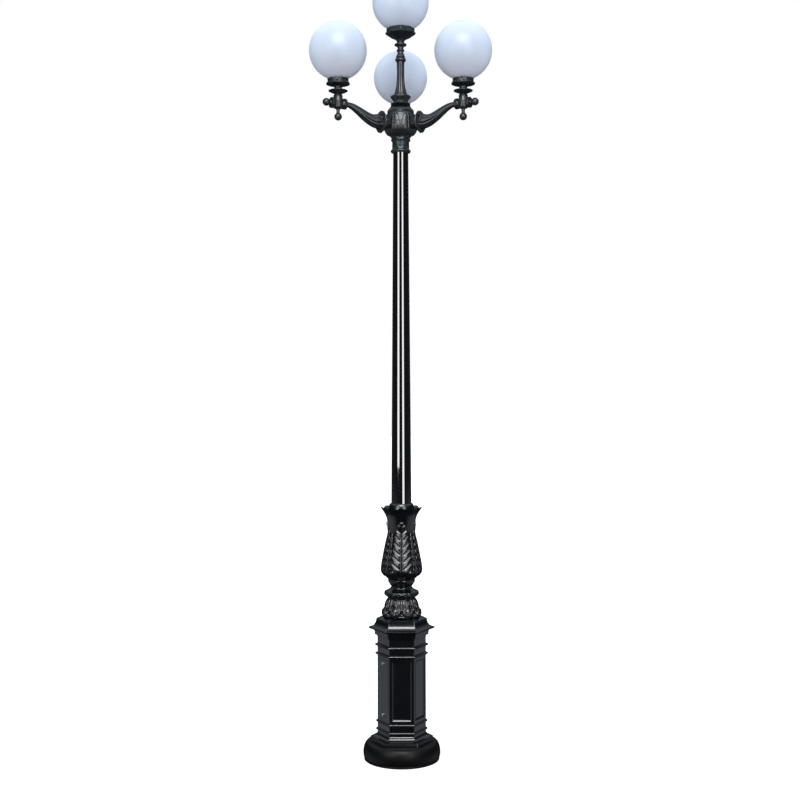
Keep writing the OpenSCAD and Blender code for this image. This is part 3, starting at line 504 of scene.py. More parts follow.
screw_heights = [panel_middle + 136.5, panel_middle - 136.5]
rebate_face = shaft_flat - rebate
screw_hole, boss_out, boss_in = 4.3, rebate_face - 2, rebate_face - 18
pedestal = piece("pedestal_casting", [shell(np.concatenate([side, ring, core, low_ring]))],
                 cast_black, nodes=["pedestal"], crease=30)
hand_hole = (46.0, panel_middle - 123, panel_middle + 123)
drill(pedestal, [door_block(rebate_face - ped_wall, shaft_flat + 5, *hand_hole)]
      + door_rods(screw_hole, rebate_face - 12, shaft_flat), crease=30)
tapped_boss = join(straight(10, boss_in, boss_out), straight(screw_hole, boss_out, boss_in))
piece("door_screw_bosses", [radial(tapped_boss, door_azimuth, z, sides=36, loop=True)
                            for z in screw_heights], cast_black)

# ----------------------------------------
# Access door: a flat iron plate with a broken edge, in the rebate on the left
# front face. A rubber seal lies behind it, and two socket-head screws hold it.

seal_thick, door_play, door_thick, door_gap = 1.6, 0.3, 5.5, 0.8
door_inner = rebate_face + door_play + seal_thick
door_outer = door_inner + door_thick
door = piece("access_door_plate",
             [door_block(door_inner, door_outer, panel_half - door_gap,
                         panel_low + door_gap, panel_high - door_gap)],
             cast_black, "door", ["access_door"], crease=30)
drill(door, door_rods(screw_hole, door_inner - 3, door_outer + 3), crease=30)
edge_break = door.modifiers.new("edge_break", "BEVEL")
edge_break.width = 0.9 * mm
edge_break.segments = 3
edge_break.limit_method = "ANGLE"
edge_break.angle_limit = math.radians(50)


def coat(finish, *names):
    """Gives carried-over CAD pieces a finish in place of their plain colour."""
    for name in names:
        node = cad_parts[name]
        node.data.materials.clear()
        node.data.materials.append(finish.material)


soft_black = Finish("rubber_black")
speckle = soft_black.noise(900, 2)
soft_black.mottle(speckle, (0.012, 0.012, 0.013), (0.03, 0.03, 0.031), speckle, 0.6, 0.8)
soft_black.bump(speckle, 0.3, 0.0002)
coat(soft_black, "door_gasket")

plated = Finish("zinc_plated_steel")
grain = plated.noise(1500, 3)
plated.mottle(plated.noise(60, 3), (0.46, 0.47, 0.5), (0.68, 0.69, 0.7), grain, 0.22, 0.42,
              Metallic=1.0)
plated.bump(grain, 0.2, 0.00005)
coat(plated, "door_screw_upper", "door_screw_lower", "base_bolts", "cap_bolts")

# ----------------------------------------
# Pedestal cap: the casting on top of the pedestal, six-sided below and on its
# sharp drip edge, hollow inside, and bolted down through its lower flange.

cap_low, cap_high = (v.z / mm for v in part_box("pedestal_cap"))
cap_rise = cap_high - cap_low
cap_edge, cap_seat = 180.0, 108.0
cap_flange, cap_plate = 14, 16
core_bore = 38.4
cap_outline = join(
    [shaft + 0.5, 0.3], [shaft + 1.5, 0], [shaft + 3, 8], [shaft + 6, 9.6], [shaft + 13, 11],
    [shaft + 14.2, 12], curve([[shaft + 14.6, 14], [shaft + 15.6, 24], [shaft + 17, 32]], 4),
    [shaft + 17, 35], curve([[shaft + 18.4, 36], [shaft + 31, 40], [cap_edge - 6, 44]], 5),
    [cap_edge - 1.4, 46.9], [cap_edge, 48.4], [cap_edge, 51.2], [cap_edge - 0.8, 52.6],
    arc(cap_edge, 98, cap_edge - shaft - 6, 46, 266, 184, 16), [shaft + 5.6, 98.8],
    [cap_seat + 2, cap_rise - 1])
cap_columns = face_columns([12, 24, 34, 43, 50, 55, 59, 62, 64, 65], shaft_flat)
cap_outside = hexed(cap_outline + (0, cap_low), cap_columns)
cap_top = turned(join([cap_seat - 6, cap_rise], [core_bore + 1, cap_rise],
                      [core_bore, cap_rise - 1], [core_bore, cap_rise - cap_plate]) + (0, cap_low),
                 cap_columns)
cap_void = hexed(join([void - 4, cap_rise - cap_plate], [void, cap_rise - cap_plate - 4],
                      [void, cap_flange]) + (0, cap_low), cap_columns)
cap_mouth = turned(join([seat_opening, cap_flange], [seat_opening, 0]) + (0, cap_low), cap_columns)
piece("pedestal_cap_casting", [shell(np.concatenate([cap_outside, cap_top, cap_void, cap_mouth]))],
      cast_black, nodes=["pedestal_cap"], crease=32)

# ----------------------------------------
# Core tube and its flange, clamps, board, rings and studs: galvanised steel.
# The tube is bolted to the disc's floor and carries the castings and the pole.

galvanised = Finish("galvanised_steel")
flowers = galvanised.node("ShaderNodeTexVoronoi", Vector=galvanised.place, Scale=110.0)
flower = flowers.outputs["Distance"]
galvanised.mottle(galvanised.spread(flower, 0, 1, 0.0, 0.9), (0.3, 0.31, 0.33),
                  (0.62, 0.63, 0.64), galvanised.noise(14, 4), 0.34, 0.6, Metallic=1.0)
galvanised.bump(flower, 0.1, 0.0002)
coat(galvanised, "core_tube", "core_flange", "gear_board", "board_clamps", "pole_foot_ring",
     "pole_guide_ring", "stem_conduit", "gallery_nipples")
coat(plated, "core_bolts", "head_lock_nuts")

# ----------------------------------------
# Electrical gear behind the door: a moulded terminal box on the board with a
# porcelain fuse carrier, rubber glands, a brass earth stud, and PVC cables.

moulded = Finish("moulded_grey")
pebble = moulded.noise(1100, 2)
moulded.mottle(pebble, (0.15, 0.165, 0.17), (0.2, 0.215, 0.22), pebble, 0.42, 0.56)
moulded.bump(pebble, 0.3, 0.00015)
coat(moulded, "terminal_box", "hub_connector")

glazed = Finish("glazed_porcelain")
glaze = glazed.noise(45, 4)
glazed.mottle(glazed.spread(glaze, 0, 1), (0.78, 0.75, 0.67), (0.86, 0.84, 0.78), glaze,
              0.1, 0.18, Coat_Weight=0.6, Coat_Roughness=0.05)
glazed.bump(glaze, 0.05, 0.0004)
coat(glazed, "fuse_carrier")

sheath = Finish("pvc_sheath_black")
rubbed = sheath.noise(160, 3)
sheath.mottle(rubbed, (0.009, 0.009, 0.01), (0.024, 0.024, 0.026), rubbed, 0.36, 0.55)
sheath.bump(sheath.noise(1300, 1), 0.2, 0.0001)
coat(sheath, "riser_cable", "arm_cables", "stem_cable")
coat(soft_black, "tube_grommet", "cable_glands", "globe_seals")

turned_brass = Finish("dark_brass")
tarnish = turned_brass.noise(130, 4)
turned_brass.mottle(turned_brass.spread(tarnish, 0, 1), (0.2, 0.13, 0.055), (0.55, 0.4, 0.17),
                    tarnish, 0.26, 0.5, Metallic=1.0)
turned_brass.bump(turned_brass.noise(1800, 2), 0.15, 0.00005)
coat(turned_brass, "earth_stud")

# ----------------------------------------
# Leaf collar: a round iron casting on the cap. Eight leaves droop down its
# flank and curl out at the foot, and a ring of curled tips stands under its top.


def smoothstep(value, start, end):
    """Rises from 0 at start to 1 at end along 3 t squared less 2 t cubed."""
    t = ((value - start) / (end - start)).clip(0, 1)
    return t * t * (3 - 2 * t)


def band(value, start, full, fade, end):
    """Rises smoothly from 0 to 1 between start and full, and falls between fade and end."""
    return smoothstep(value, start, full) * (1 - smoothstep(value, fade, end))


def hump(value, centre, half):
    """A rounded hump: the root of one less the square of the distance over its half width."""
    return np.sqrt((1 - ((value - centre) / half) ** 2).clip(0))


def repeat(azimuths, first, count):
    """Degrees from the nearest of count evenly spaced directions, one of them at first."""
    step = 360 / count
    return (np.degrees(azimuths)[None, :] - first + step / 2) % step - step / 2


def embossed(outline, azimuths, relief):
    """Turns an outline and raises it by relief, in millimetres along its normal, which is
    the outline's tangent turned by a right angle."""
    along = np.gradient(outline, axis=0)
    length = np.hypot(along[:, 0], along[:, 1]).clip(1e-6)
    out_r = (along[:, 1] / length)[:, None]
    out_z = (-along[:, 0] / length)[:, None]
    r = outline[:, :1] + relief * out_r
    z = outline[:, 1:2] + relief * out_z
    return np.stack([r * np.cos(azimuths), r * np.sin(azimuths), z], -1)


collar_low, collar_high = (v.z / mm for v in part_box("leaf_collar"))
collar_rise = collar_high - collar_low
collar_foot, collar_void, urn_foot = 98.0, 62.0, 56.0
collar_side = curve([
    [collar_foot, 0], [collar_foot + 6, 5], [collar_foot + 5.5, 12], [collar_foot, 22],
    [collar_foot - 9, 47], [collar_foot - 14, 69], [collar_void + 12, collar_rise - 62],
    [collar_void + 13, collar_rise - 52], [collar_foot - 9, collar_rise - 36],
    [collar_foot - 8, collar_rise - 28], [collar_foot - 12, collar_rise - 19],
    [urn_foot + 6, collar_rise - 4], [urn_foot + 4, collar_rise]], 12)
collar_azimuths = round_angles(432)
height = collar_side[:, 1:2]
leaf_turn = repeat(collar_azimuths, 22.5, 8)
leaf_span = np.interp(height, [6, 16, 30, 60, 88], [11, 19, 21.5, 17, 12])
leaf_side = leaf_turn / leaf_span
leaf_body = hump(leaf_side, 0, 1) * band(height, 5, 14, 84, 98)
leaf_rib = 1 - np.abs(np.sin(math.pi * (height / 27 + 1.5 * np.abs(leaf_side)))) ** 1.3
leaf_vein = np.exp(-(leaf_turn / 1.5) ** 2)
curl = np.exp(-((height - 22) / 9.0) ** 2) * hump(leaf_side, 0, 0.95)
cleft = np.exp(-((np.abs(leaf_side) - 0.52) / 0.09) ** 2) * band(height, 24, 36, 78, 90)
collar_relief = 7.0 * curl + leaf_body * (7.5 - 3.0 * leaf_rib - 3.0 * cleft + 1.8 * leaf_vein)
between = repeat(collar_azimuths, 0, 8)
stalk = hump(between, 0, 5.2) * band(height, 40, 52, 86, 96)
berry = hump(np.hypot(between / 6.2, (height - 40) / 9.5), 0, 1)
collar_relief = np.maximum(collar_relief, np.maximum(5.5 * stalk, 7 * berry))
tips = repeat(collar_azimuths, 11.25, 16)
ring_level = np.exp(-((height - 122) / 13) ** 4)
dimple = np.exp(-np.hypot(tips / 3.4, (height - 119) / 5.0) ** 2)
low_tips = repeat(collar_azimuths, 0, 16)
lower_dimple = np.exp(-np.hypot(low_tips / 2.8, (height - 105) / 4.5) ** 2)
collar_relief = collar_relief + ring_level * (1.5 + 2.4 * hump(tips, 0, 10.5))
collar_relief = collar_relief - 8.5 * dimple - 6.0 * lower_dimple
slope = hump(between, 0, 11) * band(height, 6, 24, 27, 42)
collar_relief = collar_relief - 9 * slope * (1 - hump(leaf_side, 0, 1))
collar_skin = embossed(collar_side + (0, collar_low), collar_azimuths, collar_relief)
collar_inside = turned(join(
    [core_bore + 1, collar_rise], [core_bore, collar_rise - 1], [core_bore, collar_rise - 24],
    [collar_void - 3, collar_rise - 24], [collar_void, collar_rise - 27], [collar_void, 0])
    + (0, collar_low), collar_azimuths)
piece("leaf_collar_casting", [shell(np.concatenate([collar_skin, collar_inside]))],
      cast_black, nodes=["leaf_collar"], crease=60)

# ----------------------------------------
# Urn: one thin-walled iron casting. Four long fern leaves climb from its belly
# to its waist, four narrow ones stand between them, and the rim opens in eight
# petals. A shelf inside carries the pole, and a bolt goes through both.

urn_low, urn_high = (v.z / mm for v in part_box("urn"))
urn_rise = urn_high - urn_low
urn_rim, urn_wall = 113.0, 10.0
pole_foot, shelf_up, shelf_thick = 54.7, 113.0, 14.0
pole_cavity = pole_foot + 1.5
urn_side = curve([
    [urn_foot, 0], [urn_foot, 8], [66, 24], [71, 44], [85.5, 62], [102.5, 84], [105.5, 106],
    [97, 160], [80.5, 242], [70.6, 283], [68.6, 304], [73.1, 344], [82.6, 385], [93, 406],
    [urn_rim, urn_rise]], 20)
keep = np.concatenate([[True], np.hypot(*np.diff(urn_side, axis=0).T) > 1e-6])
urn_side = urn_side[keep]
spacing = np.concatenate([[0], np.cumsum(np.hypot(*np.diff(urn_side, axis=0).T))])
even = np.linspace(0, spacing[-1], 230)
urn_side = np.stack([np.interp(even, spacing, urn_side[:, k]) for k in (0, 1)], 1)
urn_azimuths = round_angles(352)
level = urn_side[:, 1:2]


def fern(turn, level, low, high, span, pairs, steep):
    """A fern leaf in relief, 0 to 1. Its half width follows a pointed arch of the height, and
    its leaflets are rounded ridges that rise outwards: the ridge's phase is the height less
    the sideways distance times its steepness, which eases off towards the tip."""
    t = ((level - low) / (high - low)).clip(0, 1)
    width = span * np.interp(t, [0, 0.1, 0.3, 0.75, 0.93, 1], [0.62, 0.86, 1, 0.84, 0.52, 0.1])
    side = np.abs(turn) / width
    phase = pairs * (t - steep * (1 - 0.45 * t) * np.abs(turn) / span)
    ridge = np.abs(np.sin(math.pi * phase))
    notch = 0.86 + 0.14 * ridge
    inside = smoothstep(notch - side, 0, 0.1)
    ends = band(t, 0, 0.03, 0.975, 1)
    gap = smoothstep(ridge, 0.05, 0.85)
    near_vein = np.exp(-(turn / (0.26 * span)) ** 2)
    fall = 1 - 0.3 * side.clip(0, 1) ** 2
    ribbed = gap * (1 - near_vein) + near_vein
    groove = np.exp(-(turn / (0.026 * span)) ** 2)
    return inside * ends * fall * (0.04 + 0.96 * ribbed) * (1 - 0.6 * groove)


main_turn = repeat(urn_azimuths, 90, 4)
between_turn = repeat(urn_azimuths, 45, 4)
leaves = 6.4 * fern(main_turn, level, 62, 358, 38, 7.6, 0.2)
shoots = 4.4 * fern(between_turn, level, 58, 300, 8.5, 7, 0.16)
ribs = np.cos(np.radians(repeat(urn_azimuths, 90, 24) * 12)) ** 2
foot_ribs = 1.8 * ribs * band(level, 50, 58, 62, 74)
foot_bead = 3.6 * hump(level, 35, 9)
urn_relief = np.maximum(np.maximum(leaves, shoots), foot_ribs + foot_bead)
through = 344.0
from_bolt = np.hypot(repeat(urn_azimuths, 0, 2), (level - through) / 0.8)
urn_relief = urn_relief * (1 - hump(from_bolt, 0, 15))
petal = (0.5 + 0.5 * np.cos(8 * urn_azimuths))[None, :] ** 0.7
rim_start = 398.0
squash = 1 - 0.3 * (1 - petal) * smoothstep(level, rim_start, rim_start + 22)
petal_ridge = 2.0 * np.abs(np.cos(4 * urn_azimuths))[None, :] ** 6 * band(level, 372, 410, 420, 433)
urn_skin = embossed(urn_side, urn_azimuths, urn_relief + petal_ridge)
radius = np.hypot(urn_skin[..., 0], urn_skin[..., 1])
lowered = np.where(level > rim_start, rim_start + (urn_skin[..., 2] - rim_start) * squash,
                   urn_skin[..., 2])
narrowed = np.interp(lowered, urn_side[:, 1], urn_side[:, 0]) + radius - urn_side[:, :1]
radius = np.where(level > rim_start, narrowed, radius)
urn_skin = np.stack([radius * np.cos(urn_azimuths), radius * np.sin(urn_azimuths), lowered], -1)
cup = curve([[urn_rim - 5, urn_rise - 1], [100, 424], [88, 406]], 5)
cup_squash = 1 - 0.34 * (1 - petal)
cup_z = 404 + (cup[:, 1:2] - 404) * cup_squash
cup_r = np.interp(cup_z, cup[::-1, 1], cup[::-1, 0])
urn_cup = np.stack([cup_r * np.cos(urn_azimuths), cup_r * np.sin(urn_azimuths), cup_z], -1)
inner = np.array([[pole_cavity, 400], [pole_cavity, urn_rise - shelf_up],
                  [core_bore, urn_rise - shelf_up], [core_bore, urn_rise - shelf_up - shelf_thick]])
hollow = urn_side[(level[:, 0] < urn_rise - shelf_up - shelf_thick) & (level[:, 0] > 20)][::-6]
hollow = hollow - (urn_wall, 0)
urn_inside = turned(join([70.2, 400], inner, [hollow[0, 0], inner[-1, 1]], hollow,
                         [hollow[-1, 0], 20], [urn_foot - urn_wall, 20], [urn_foot - urn_wall, 0]),
                    urn_azimuths)
urn = piece("urn_casting", [shell(np.concatenate([urn_skin, urn_cup, urn_inside])
                                  + (0, 0, urn_low))],
            cast_black, nodes=["urn"], crease=60)


bolt_seat, bolt_head, bolt_hole, bolt_height = 71.6, 13.0, 6.4, urn_low + through
drill(urn, [radial(straight(radius, start, end), 0, bolt_height, sides=40)
            for radius, start, end in ((bolt_head, bolt_seat, urn_rim),
                                       (bolt_head, -urn_rim, -bolt_seat),
                                       (bolt_hole, -urn_rim, urn_rim))], crease=60)
coat(plated, "pole_through_bolt")

# ----------------------------------------
# Weather collar: a small domed iron ring that sheds rain off the pole into the
# urn's cup. It slides down the pole and rests on the urn's ledge.

dome_low, dome_high = (v.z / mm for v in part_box("weather_collar"))
pole_low, pole_high = (v.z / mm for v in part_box("pole"))
pole_top = 39.8


def pole_radius(height):
    """The pole's radius at a height: it falls in a straight line from foot to top."""
    return pole_foot + (pole_top - pole_foot) * (height - pole_low) / (pole_high - pole_low)


dome_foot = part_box("weather_collar")[1].x / mm
dome = join([dome_foot - 0.6, dome_low], [dome_foot, dome_low + 0.6], [dome_foot, dome_low + 7],
            arc(pole_foot + 2.3, dome_low + 8, dome_foot - pole_foot - 2.3, dome_high - dome_low - 8,
                0, 90, 14),
            [pole_radius(dome_high) + 0.2, dome_high], [pole_radius(dome_low) + 0.2, dome_low])
piece("weather_collar_ring", [shell(turned(dome, round_angles(96)))], cast_black,
      nodes=["weather_collar"])

# ----------------------------------------
# Pole: a tapered steel tube, four millimetres thick, sprayed in high gloss
# black enamel. Its foot stands on the urn's shelf, and its top is in the hub.

enamel = Finish("gloss_black_enamel", "pole_black")
drift = enamel.spread(enamel.noise(5, 3), 0, 1)
enamel.mottle(drift, (0.0016, 0.0016, 0.0026), (0.0028, 0.0028, 0.004), enamel.noise(240, 4),
              0.045, 0.075, Specular_IOR_Level=1.0, Coat_Weight=1.0, Coat_Roughness=0.03,
              Coat_IOR=1.8)
enamel.bump(enamel.noise(26, 2), 0.015, 0.0006)
pole_rows, pole_wall = np.linspace(pole_low, pole_high, 90), 4.0
tube = join(np.stack([pole_radius(pole_rows), pole_rows], 1), [pole_top - pole_wall, pole_high],
            [pole_foot - pole_wall, pole_low])
pole = piece("pole_tube", [shell(turned(tube, round_angles(160)))], enamel,
             nodes=["pole"])
drill(pole, [radial(straight(bolt_hole, -pole_foot - 9, pole_foot + 9), 0, bolt_height, sides=40)])

# ----------------------------------------
# Hub: a hollow aluminium casting that slips over the pole's top and is held by
# set screws. Six pointed leaves climb its belly under a scalloped cape, and a
# short round boss points at each arm.

head_paint = Finish("satin_green_grey", "head_aluminium")
pores = head_paint.noise(700, 2)
wash = head_paint.noise(24, 4)
head_paint.mottle(head_paint.spread(wash, 0, 1), (0.006, 0.0085, 0.0105),
                  (0.013, 0.018, 0.021), pores, 0.28, 0.42, Specular_IOR_Level=0.42)
head_paint.bump(pores, 0.3, 0.0003)
head_paint.bump(wash, 0.2, 0.0012)

arm_azimuths = {"left": math.radians(210), "right": math.radians(330), "back": math.radians(90)}
arm_reach, arm_rise = 375.0, 69.0
hub_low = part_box("hub")[0].z / mm
hub_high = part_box("coronet")[0].z / mm
hub_rise = hub_high - hub_low
root_level = hub_low + 154
tip_level = root_level + arm_rise
socket, passage, hub_hollow, boss_reach, boss_radius = 40.6, 21.5, 45.0, 112.0, 33.0
spigot_bore, stem_bore = 15.3, 8.3
hub_side = join(
    [44, 0.4], arc(45.5, 9, 8, 9, -84, 84, 12), [45.5, 19], [45.2, 57], [46.4, 60],
    curve([[47, 61], [51.4, 64.5], [52, 69], [49.6, 73]], 4), [50, 76.4],
    curve([[51, 81], [57, 88], [70, 100], [81.5, 117], [84.7, 132], [83.6, 150], [82, 172],
           [75.5, 200], [66, 222], [57.4, 232], [46, 235]], 9), [41, hub_rise])
hub_azimuths = round_angles(320)
level = hub_side[:, 1:2]
between_arms = repeat(hub_azimuths, 30, 3)
leaf_turn = np.abs(between_arms) - 26
climb = ((level - 92) / 118).clip(0, 1)
leaf_span = 24.5 * np.interp(climb, [0, 0.12, 0.45, 0.8, 1], [0.6, 0.88, 1, 0.7, 0.08])
blade = hump(leaf_turn, 0, leaf_span) * band(climb, 0, 0.06, 0.97, 1)
blade = blade * (1 - 0.35 * np.exp(-(leaf_turn / 2.2) ** 2))
blade = blade - 0.12 * np.abs(np.sin(math.pi * (climb * 8 - 0.05 * np.abs(leaf_turn)))) * blade
cape_edge = 203 + 15 * np.abs(np.sin(3 * (hub_azimuths + math.pi / 2)))[None, :]
cape = smoothstep(level - cape_edge, -1.5, 2.5)
collar_ribs = 1.1 * np.abs(np.cos(12 * hub_azimuths))[None, :] ** 2 * band(level, 22, 28, 48, 54)
hub_relief = 5.0 * blade * (1 - cape) + 5.0 * cape * (1 - smoothstep(level, 230, 235)) + collar_ribs
hub_skin = embossed(hub_side + (0, hub_low), hub_azimuths, hub_relief)
hub_inside = turned(join(
    [stem_bore, hub_rise], [stem_bore, hub_rise - 27], [hub_hollow, hub_rise - 27], [hub_hollow, 99],
    [passage, 99], [passage, 72], [socket, 72], [socket, 0]) + (0, hub_low), hub_azimuths)


boss = join([spigot_bore, 58], [boss_radius, 58], [boss_radius, boss_reach - 13],
            arc(boss_radius, boss_reach - 9, 3.2, 4, -80, 80, 8), [boss_radius, boss_reach - 3.4],
            [boss_radius - 0.6, boss_reach], [spigot_bore, boss_reach])
piece("hub_casting", [shell(np.concatenate([hub_skin, hub_inside]))]
            + [radial(boss, a, root_level, loop=True) for a in arm_azimuths.values()],
            head_paint, nodes=["hub"], crease=50)
piece("hub_screw_pads", [radial(join([4.6, 40], [8, 40], [8, 48.2], [7.2, 49], [4.6, 49]),
                                math.radians(a), hub_low + 36, sides=32, loop=True)
                         for a in (30, 150, 270)], head_paint)
coat(head_paint, "hub_set_screws", "gallery_screws")

# ----------------------------------------
# Coronet: a cast ring of two tiers of scalloped leaf tips between hub and stem,
# clamped there by the conduit that runs up the middle.

coronet_low, coronet_high = (v.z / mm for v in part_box("coronet"))
coronet_rise = coronet_high - coronet_low
coronet_side = join(
    [26.5, 0], curve([[27, 2], [30, 8], [37, 15], [48, 21.5], [51, 24.5], [47, 27], [39, 31],
                      [38.4, 36], [43, 46], [50, 56], [52.6, 62], [52.5, 66]], 7),
    [50, 67.4], [36, coronet_rise])
coronet_azimuths = round_angles(240)
level = coronet_side[:, 1:2]
scallop = np.abs(np.cos(6 * coronet_azimuths))[None, :] ** 1.5
upper = np.abs(np.cos(5 * coronet_azimuths + 0.3))[None, :] ** 1.5
tiers = 3.6 * (scallop - 0.6) * np.exp(-((level - 23) / 7) ** 2)
tiers = tiers + 3.2 * (upper - 0.6) * np.exp(-((level - 61) / 12) ** 2)
coronet_skin = embossed(coronet_side + (0, coronet_low), coronet_azimuths, tiers)
bore = turned(straight(stem_bore, coronet_high, coronet_low), coronet_azimuths)
piece("coronet_casting", [shell(np.concatenate([coronet_skin, bore]))], head_paint,
      nodes=["coronet"], crease=50)

# ----------------------------------------
# Stem: the centre pillar, cast with a flared fluted foot, then turned beads and
# rings. It is bored for the conduit.

stem_low, stem_high = (v.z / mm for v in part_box("stem"))
stem_side = join(
    [34.6, 0], [35.5, 0.9], [35.5, 7.4], [34.6, 8.4], [33.6, 9.4],
    curve([[33, 11], [28, 30], [24, 52], [21.6, 78], [20.5, 104], [20.4, 135], [20.5, 165]], 8),
    [20.5, 178.6], [21.8, 179.6], arc(20.5, 190, 8.2, 10, -78, 78, 14), [21.6, 200.6],
    curve([[23, 202], [24.2, 206], [20.5, 215], [16.4, 226]], 5), [16, 233.6],
    arc(16, 240, 5.5, 5, -80, 80, 10), [15.8, 246.4], [15.8, 252], [17, 258], [18.4, 261.2],
    arc(19, 270, 13.8, 8, -84, 84, 14), [18.6, 279], [19, stem_high - stem_low])
stem_azimuths = round_angles(192)
level = stem_side[:, 1:2]
flute = np.abs(np.sin(4 * stem_azimuths))[None, :] ** 0.6
fluting = 2.6 * (flute - 0.75) * band(level, 11, 20, 158, 172)
stem_skin = embossed(stem_side + (0, stem_low), stem_azimuths, fluting)
bore = turned(straight(stem_bore, stem_high, stem_low), stem_azimuths)
piece("stem_casting", [shell(np.concatenate([stem_skin, bore]))], head_paint, nodes=["stem"], crease=50)

# ----------------------------------------
# Arms: three hollow aluminium castings that swell and drop towards the hub, with
# long petals at the root that fade out. A threaded spigot goes through each
# rosette into the hub, and a plain one into the boss at the tip.

arm_root, arm_end = 128.0, 331.0
root_radius, tip_radius, channel = 38.0, 11.6, 6.6
bend = (arm_root + 22, arm_end - 3)


def arm_level(out):
    """Height of an arm's centreline over its root: it eases up between the bend's ends."""
    return root_level + arm_rise * smoothstep(np.asarray(out, float), *bend)


def arm_slope(out):
    """Slope of the centreline, from its heights a tenth of a millimetre either side."""
    return (arm_level(out + 0.1) - arm_level(out - 0.1)) / 0.2


def arm_shell(azimuth):
    """The arm's skin: rings square to the centreline, whose radius falls from root to tip
    and is pulled in between eight petals near the root."""
    out = np.linspace(arm_root, arm_end, 76)
    t = (out - arm_root) / (arm_end - arm_root)
    body = root_radius + (tip_radius - root_radius) * t + 3.0 * np.exp(-((t - 0.1) / 0.12) ** 2)
    body[0] = root_radius - 3
    body[-1] = tip_radius - 1
    lines = join([30, 14.2], [31, 15], [arm_root, 15], np.stack([out, body], 1), [arm_end, 10],
                 [352, 10], [352, channel], np.stack([out[::-4], 0 * out[::-4] + channel], 1),
                 [arm_root, channel], [30, channel])
    x, r = lines[:, :1], lines[:, 1:2]
    angles = round_angles(112)
    petal = np.abs(np.cos(4 * angles))[None, :]
    fade = (1 - smoothstep(x, 165, 290)) * smoothstep(x, arm_root - 1, arm_root + 8) * (r > 16)
    vein = np.exp(-((1 - petal) / 0.006)) * 0.03
    r = r * (1 - 0.15 * fade * (1 - petal ** 0.55) - vein * fade)
    turn = np.arctan(arm_slope(x))
    side, up = r * np.cos(angles), r * np.sin(angles)
    skin = np.stack([x - up * np.sin(turn), side, arm_level(x) + up * np.cos(turn)], -1)
    return shell(swung(skin, azimuth))


for name, azimuth in arm_azimuths.items():
    piece(f"arm_{name}_casting", [arm_shell(azimuth)], head_paint,
          nodes=[f"arm_{name}"], crease=55)

rosette = join([spigot_bore, 0.2], [40, 0], [41, 0.5], curve([[45, 1.4], [51, 3.4], [56.4, 6.4],
               [57.4, 8.6], [55.6, 11.4], [50.5, 12.8], [46, 14.2], [44, 15.8]], 4), [40, 16],
               [spigot_bore, 16])
piece("rosette_rings", [radial(rosette + (0, boss_reach), a, root_level, sides=120, loop=True,
                               ripple=lambda angles, out: 1 + 0.035 * np.abs(np.cos(6 * angles))
                               * np.exp(-((out - boss_reach - 8) / 5) ** 2)[:, None])
                        for a in arm_azimuths.values()], head_paint,
      nodes=["arm_rosettes"])

# ----------------------------------------
# Arm ends: a cast boss with a flanged cross tube on each arm, a ball knob screwed
# into its outer end, and another on a slender neck below it.


def tip(azimuth, height):
    """The point at a height on the upright line through an arm's tip."""
    return arm_reach * math.cos(azimuth), arm_reach * math.sin(azimuth), height


def at_tip(outline, azimuth, height, sides=96, loop=True):
    """A closed solid turned round the upright line through an arm's tip."""
    return shell(turned(outline, round_angles(sides)) + tip(azimuth, height), loop=loop)


conduit = 8.2
boss_side = join([conduit, -27], [16, -27], arc(18, -18, 9, 9, -84, 0, 8), [27, 10],
                 curve([[27, 13], [26.2, 17], [23.6, 28], [23, 33]], 4),
                 [24.6, 35], [24.6, 38.6], [22.4, 40.4], [19.6, 49], [19, 51], [conduit, 51])
cross = join([10.2, -43.6], [27, -44], [28, -43], [28, -31], [27, -30], [21.4, -29.4],
             [20, -27], [20, 27], [21.4, 29.4], [27, 30], [28, 31], [28, 41], [27, 42], [10.2, 42])
azimuths = list(arm_azimuths.values())
piece("arm_end_castings", [at_tip(boss_side, a, tip_level) for a in azimuths]
      + [radial(cross, a, tip_level, out=arm_reach, loop=True) for a in azimuths],
      head_paint, nodes=["arm_end_bosses"])


def knob(neck):
    """A ball on a neck: a collar, a waist that swells into the ball, and a threaded shank."""
    ball = arc(0, neck + 18, 20, 20, -52, 88, 20)
    return join([8, -9], [8, 0], [12.6, 0], [13, 0.6], [13, 2.4], [12, 4],
                curve([[9.6, 6], [8.8, 6 + (neck - 6) * 0.5], [9.4, neck]], 4), ball)


piece("outer_ball_knobs", [radial(knob(8), a, tip_level, out=arm_reach + 42) for a in azimuths],
      head_paint, nodes=["outer_knobs"])
piece("pendant_ball_knobs", [at_tip(knob(24) * (1, -1), a, tip_level - 27, loop=False)
                             for a in azimuths],
      head_paint, nodes=["pendant_knobs"])

# ----------------------------------------
# Drip saucers and galleries: spun dishes that shed rain, and the cups that hold
# the globes' necks with thumb screws, painted over. The top cup has eight sides.

saucer_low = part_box("drip_saucers")[0].z / mm
saucer = join([conduit, 0], [19.4, 0], [20, 0.6], curve([[21.5, 1.2], [32, 3], [46, 9.4]], 6),
              arc(46, 13, 4.2, 3.2, -80, 80, 8), curve([[45, 16], [34, 17.4], [24, 21.4]], 5),
              [22.4, 22.6], [21.6, 23], [conduit, 23])
piece("saucers", [at_tip(saucer, a, saucer_low) for a in azimuths], head_paint, nodes=["drip_saucers"])

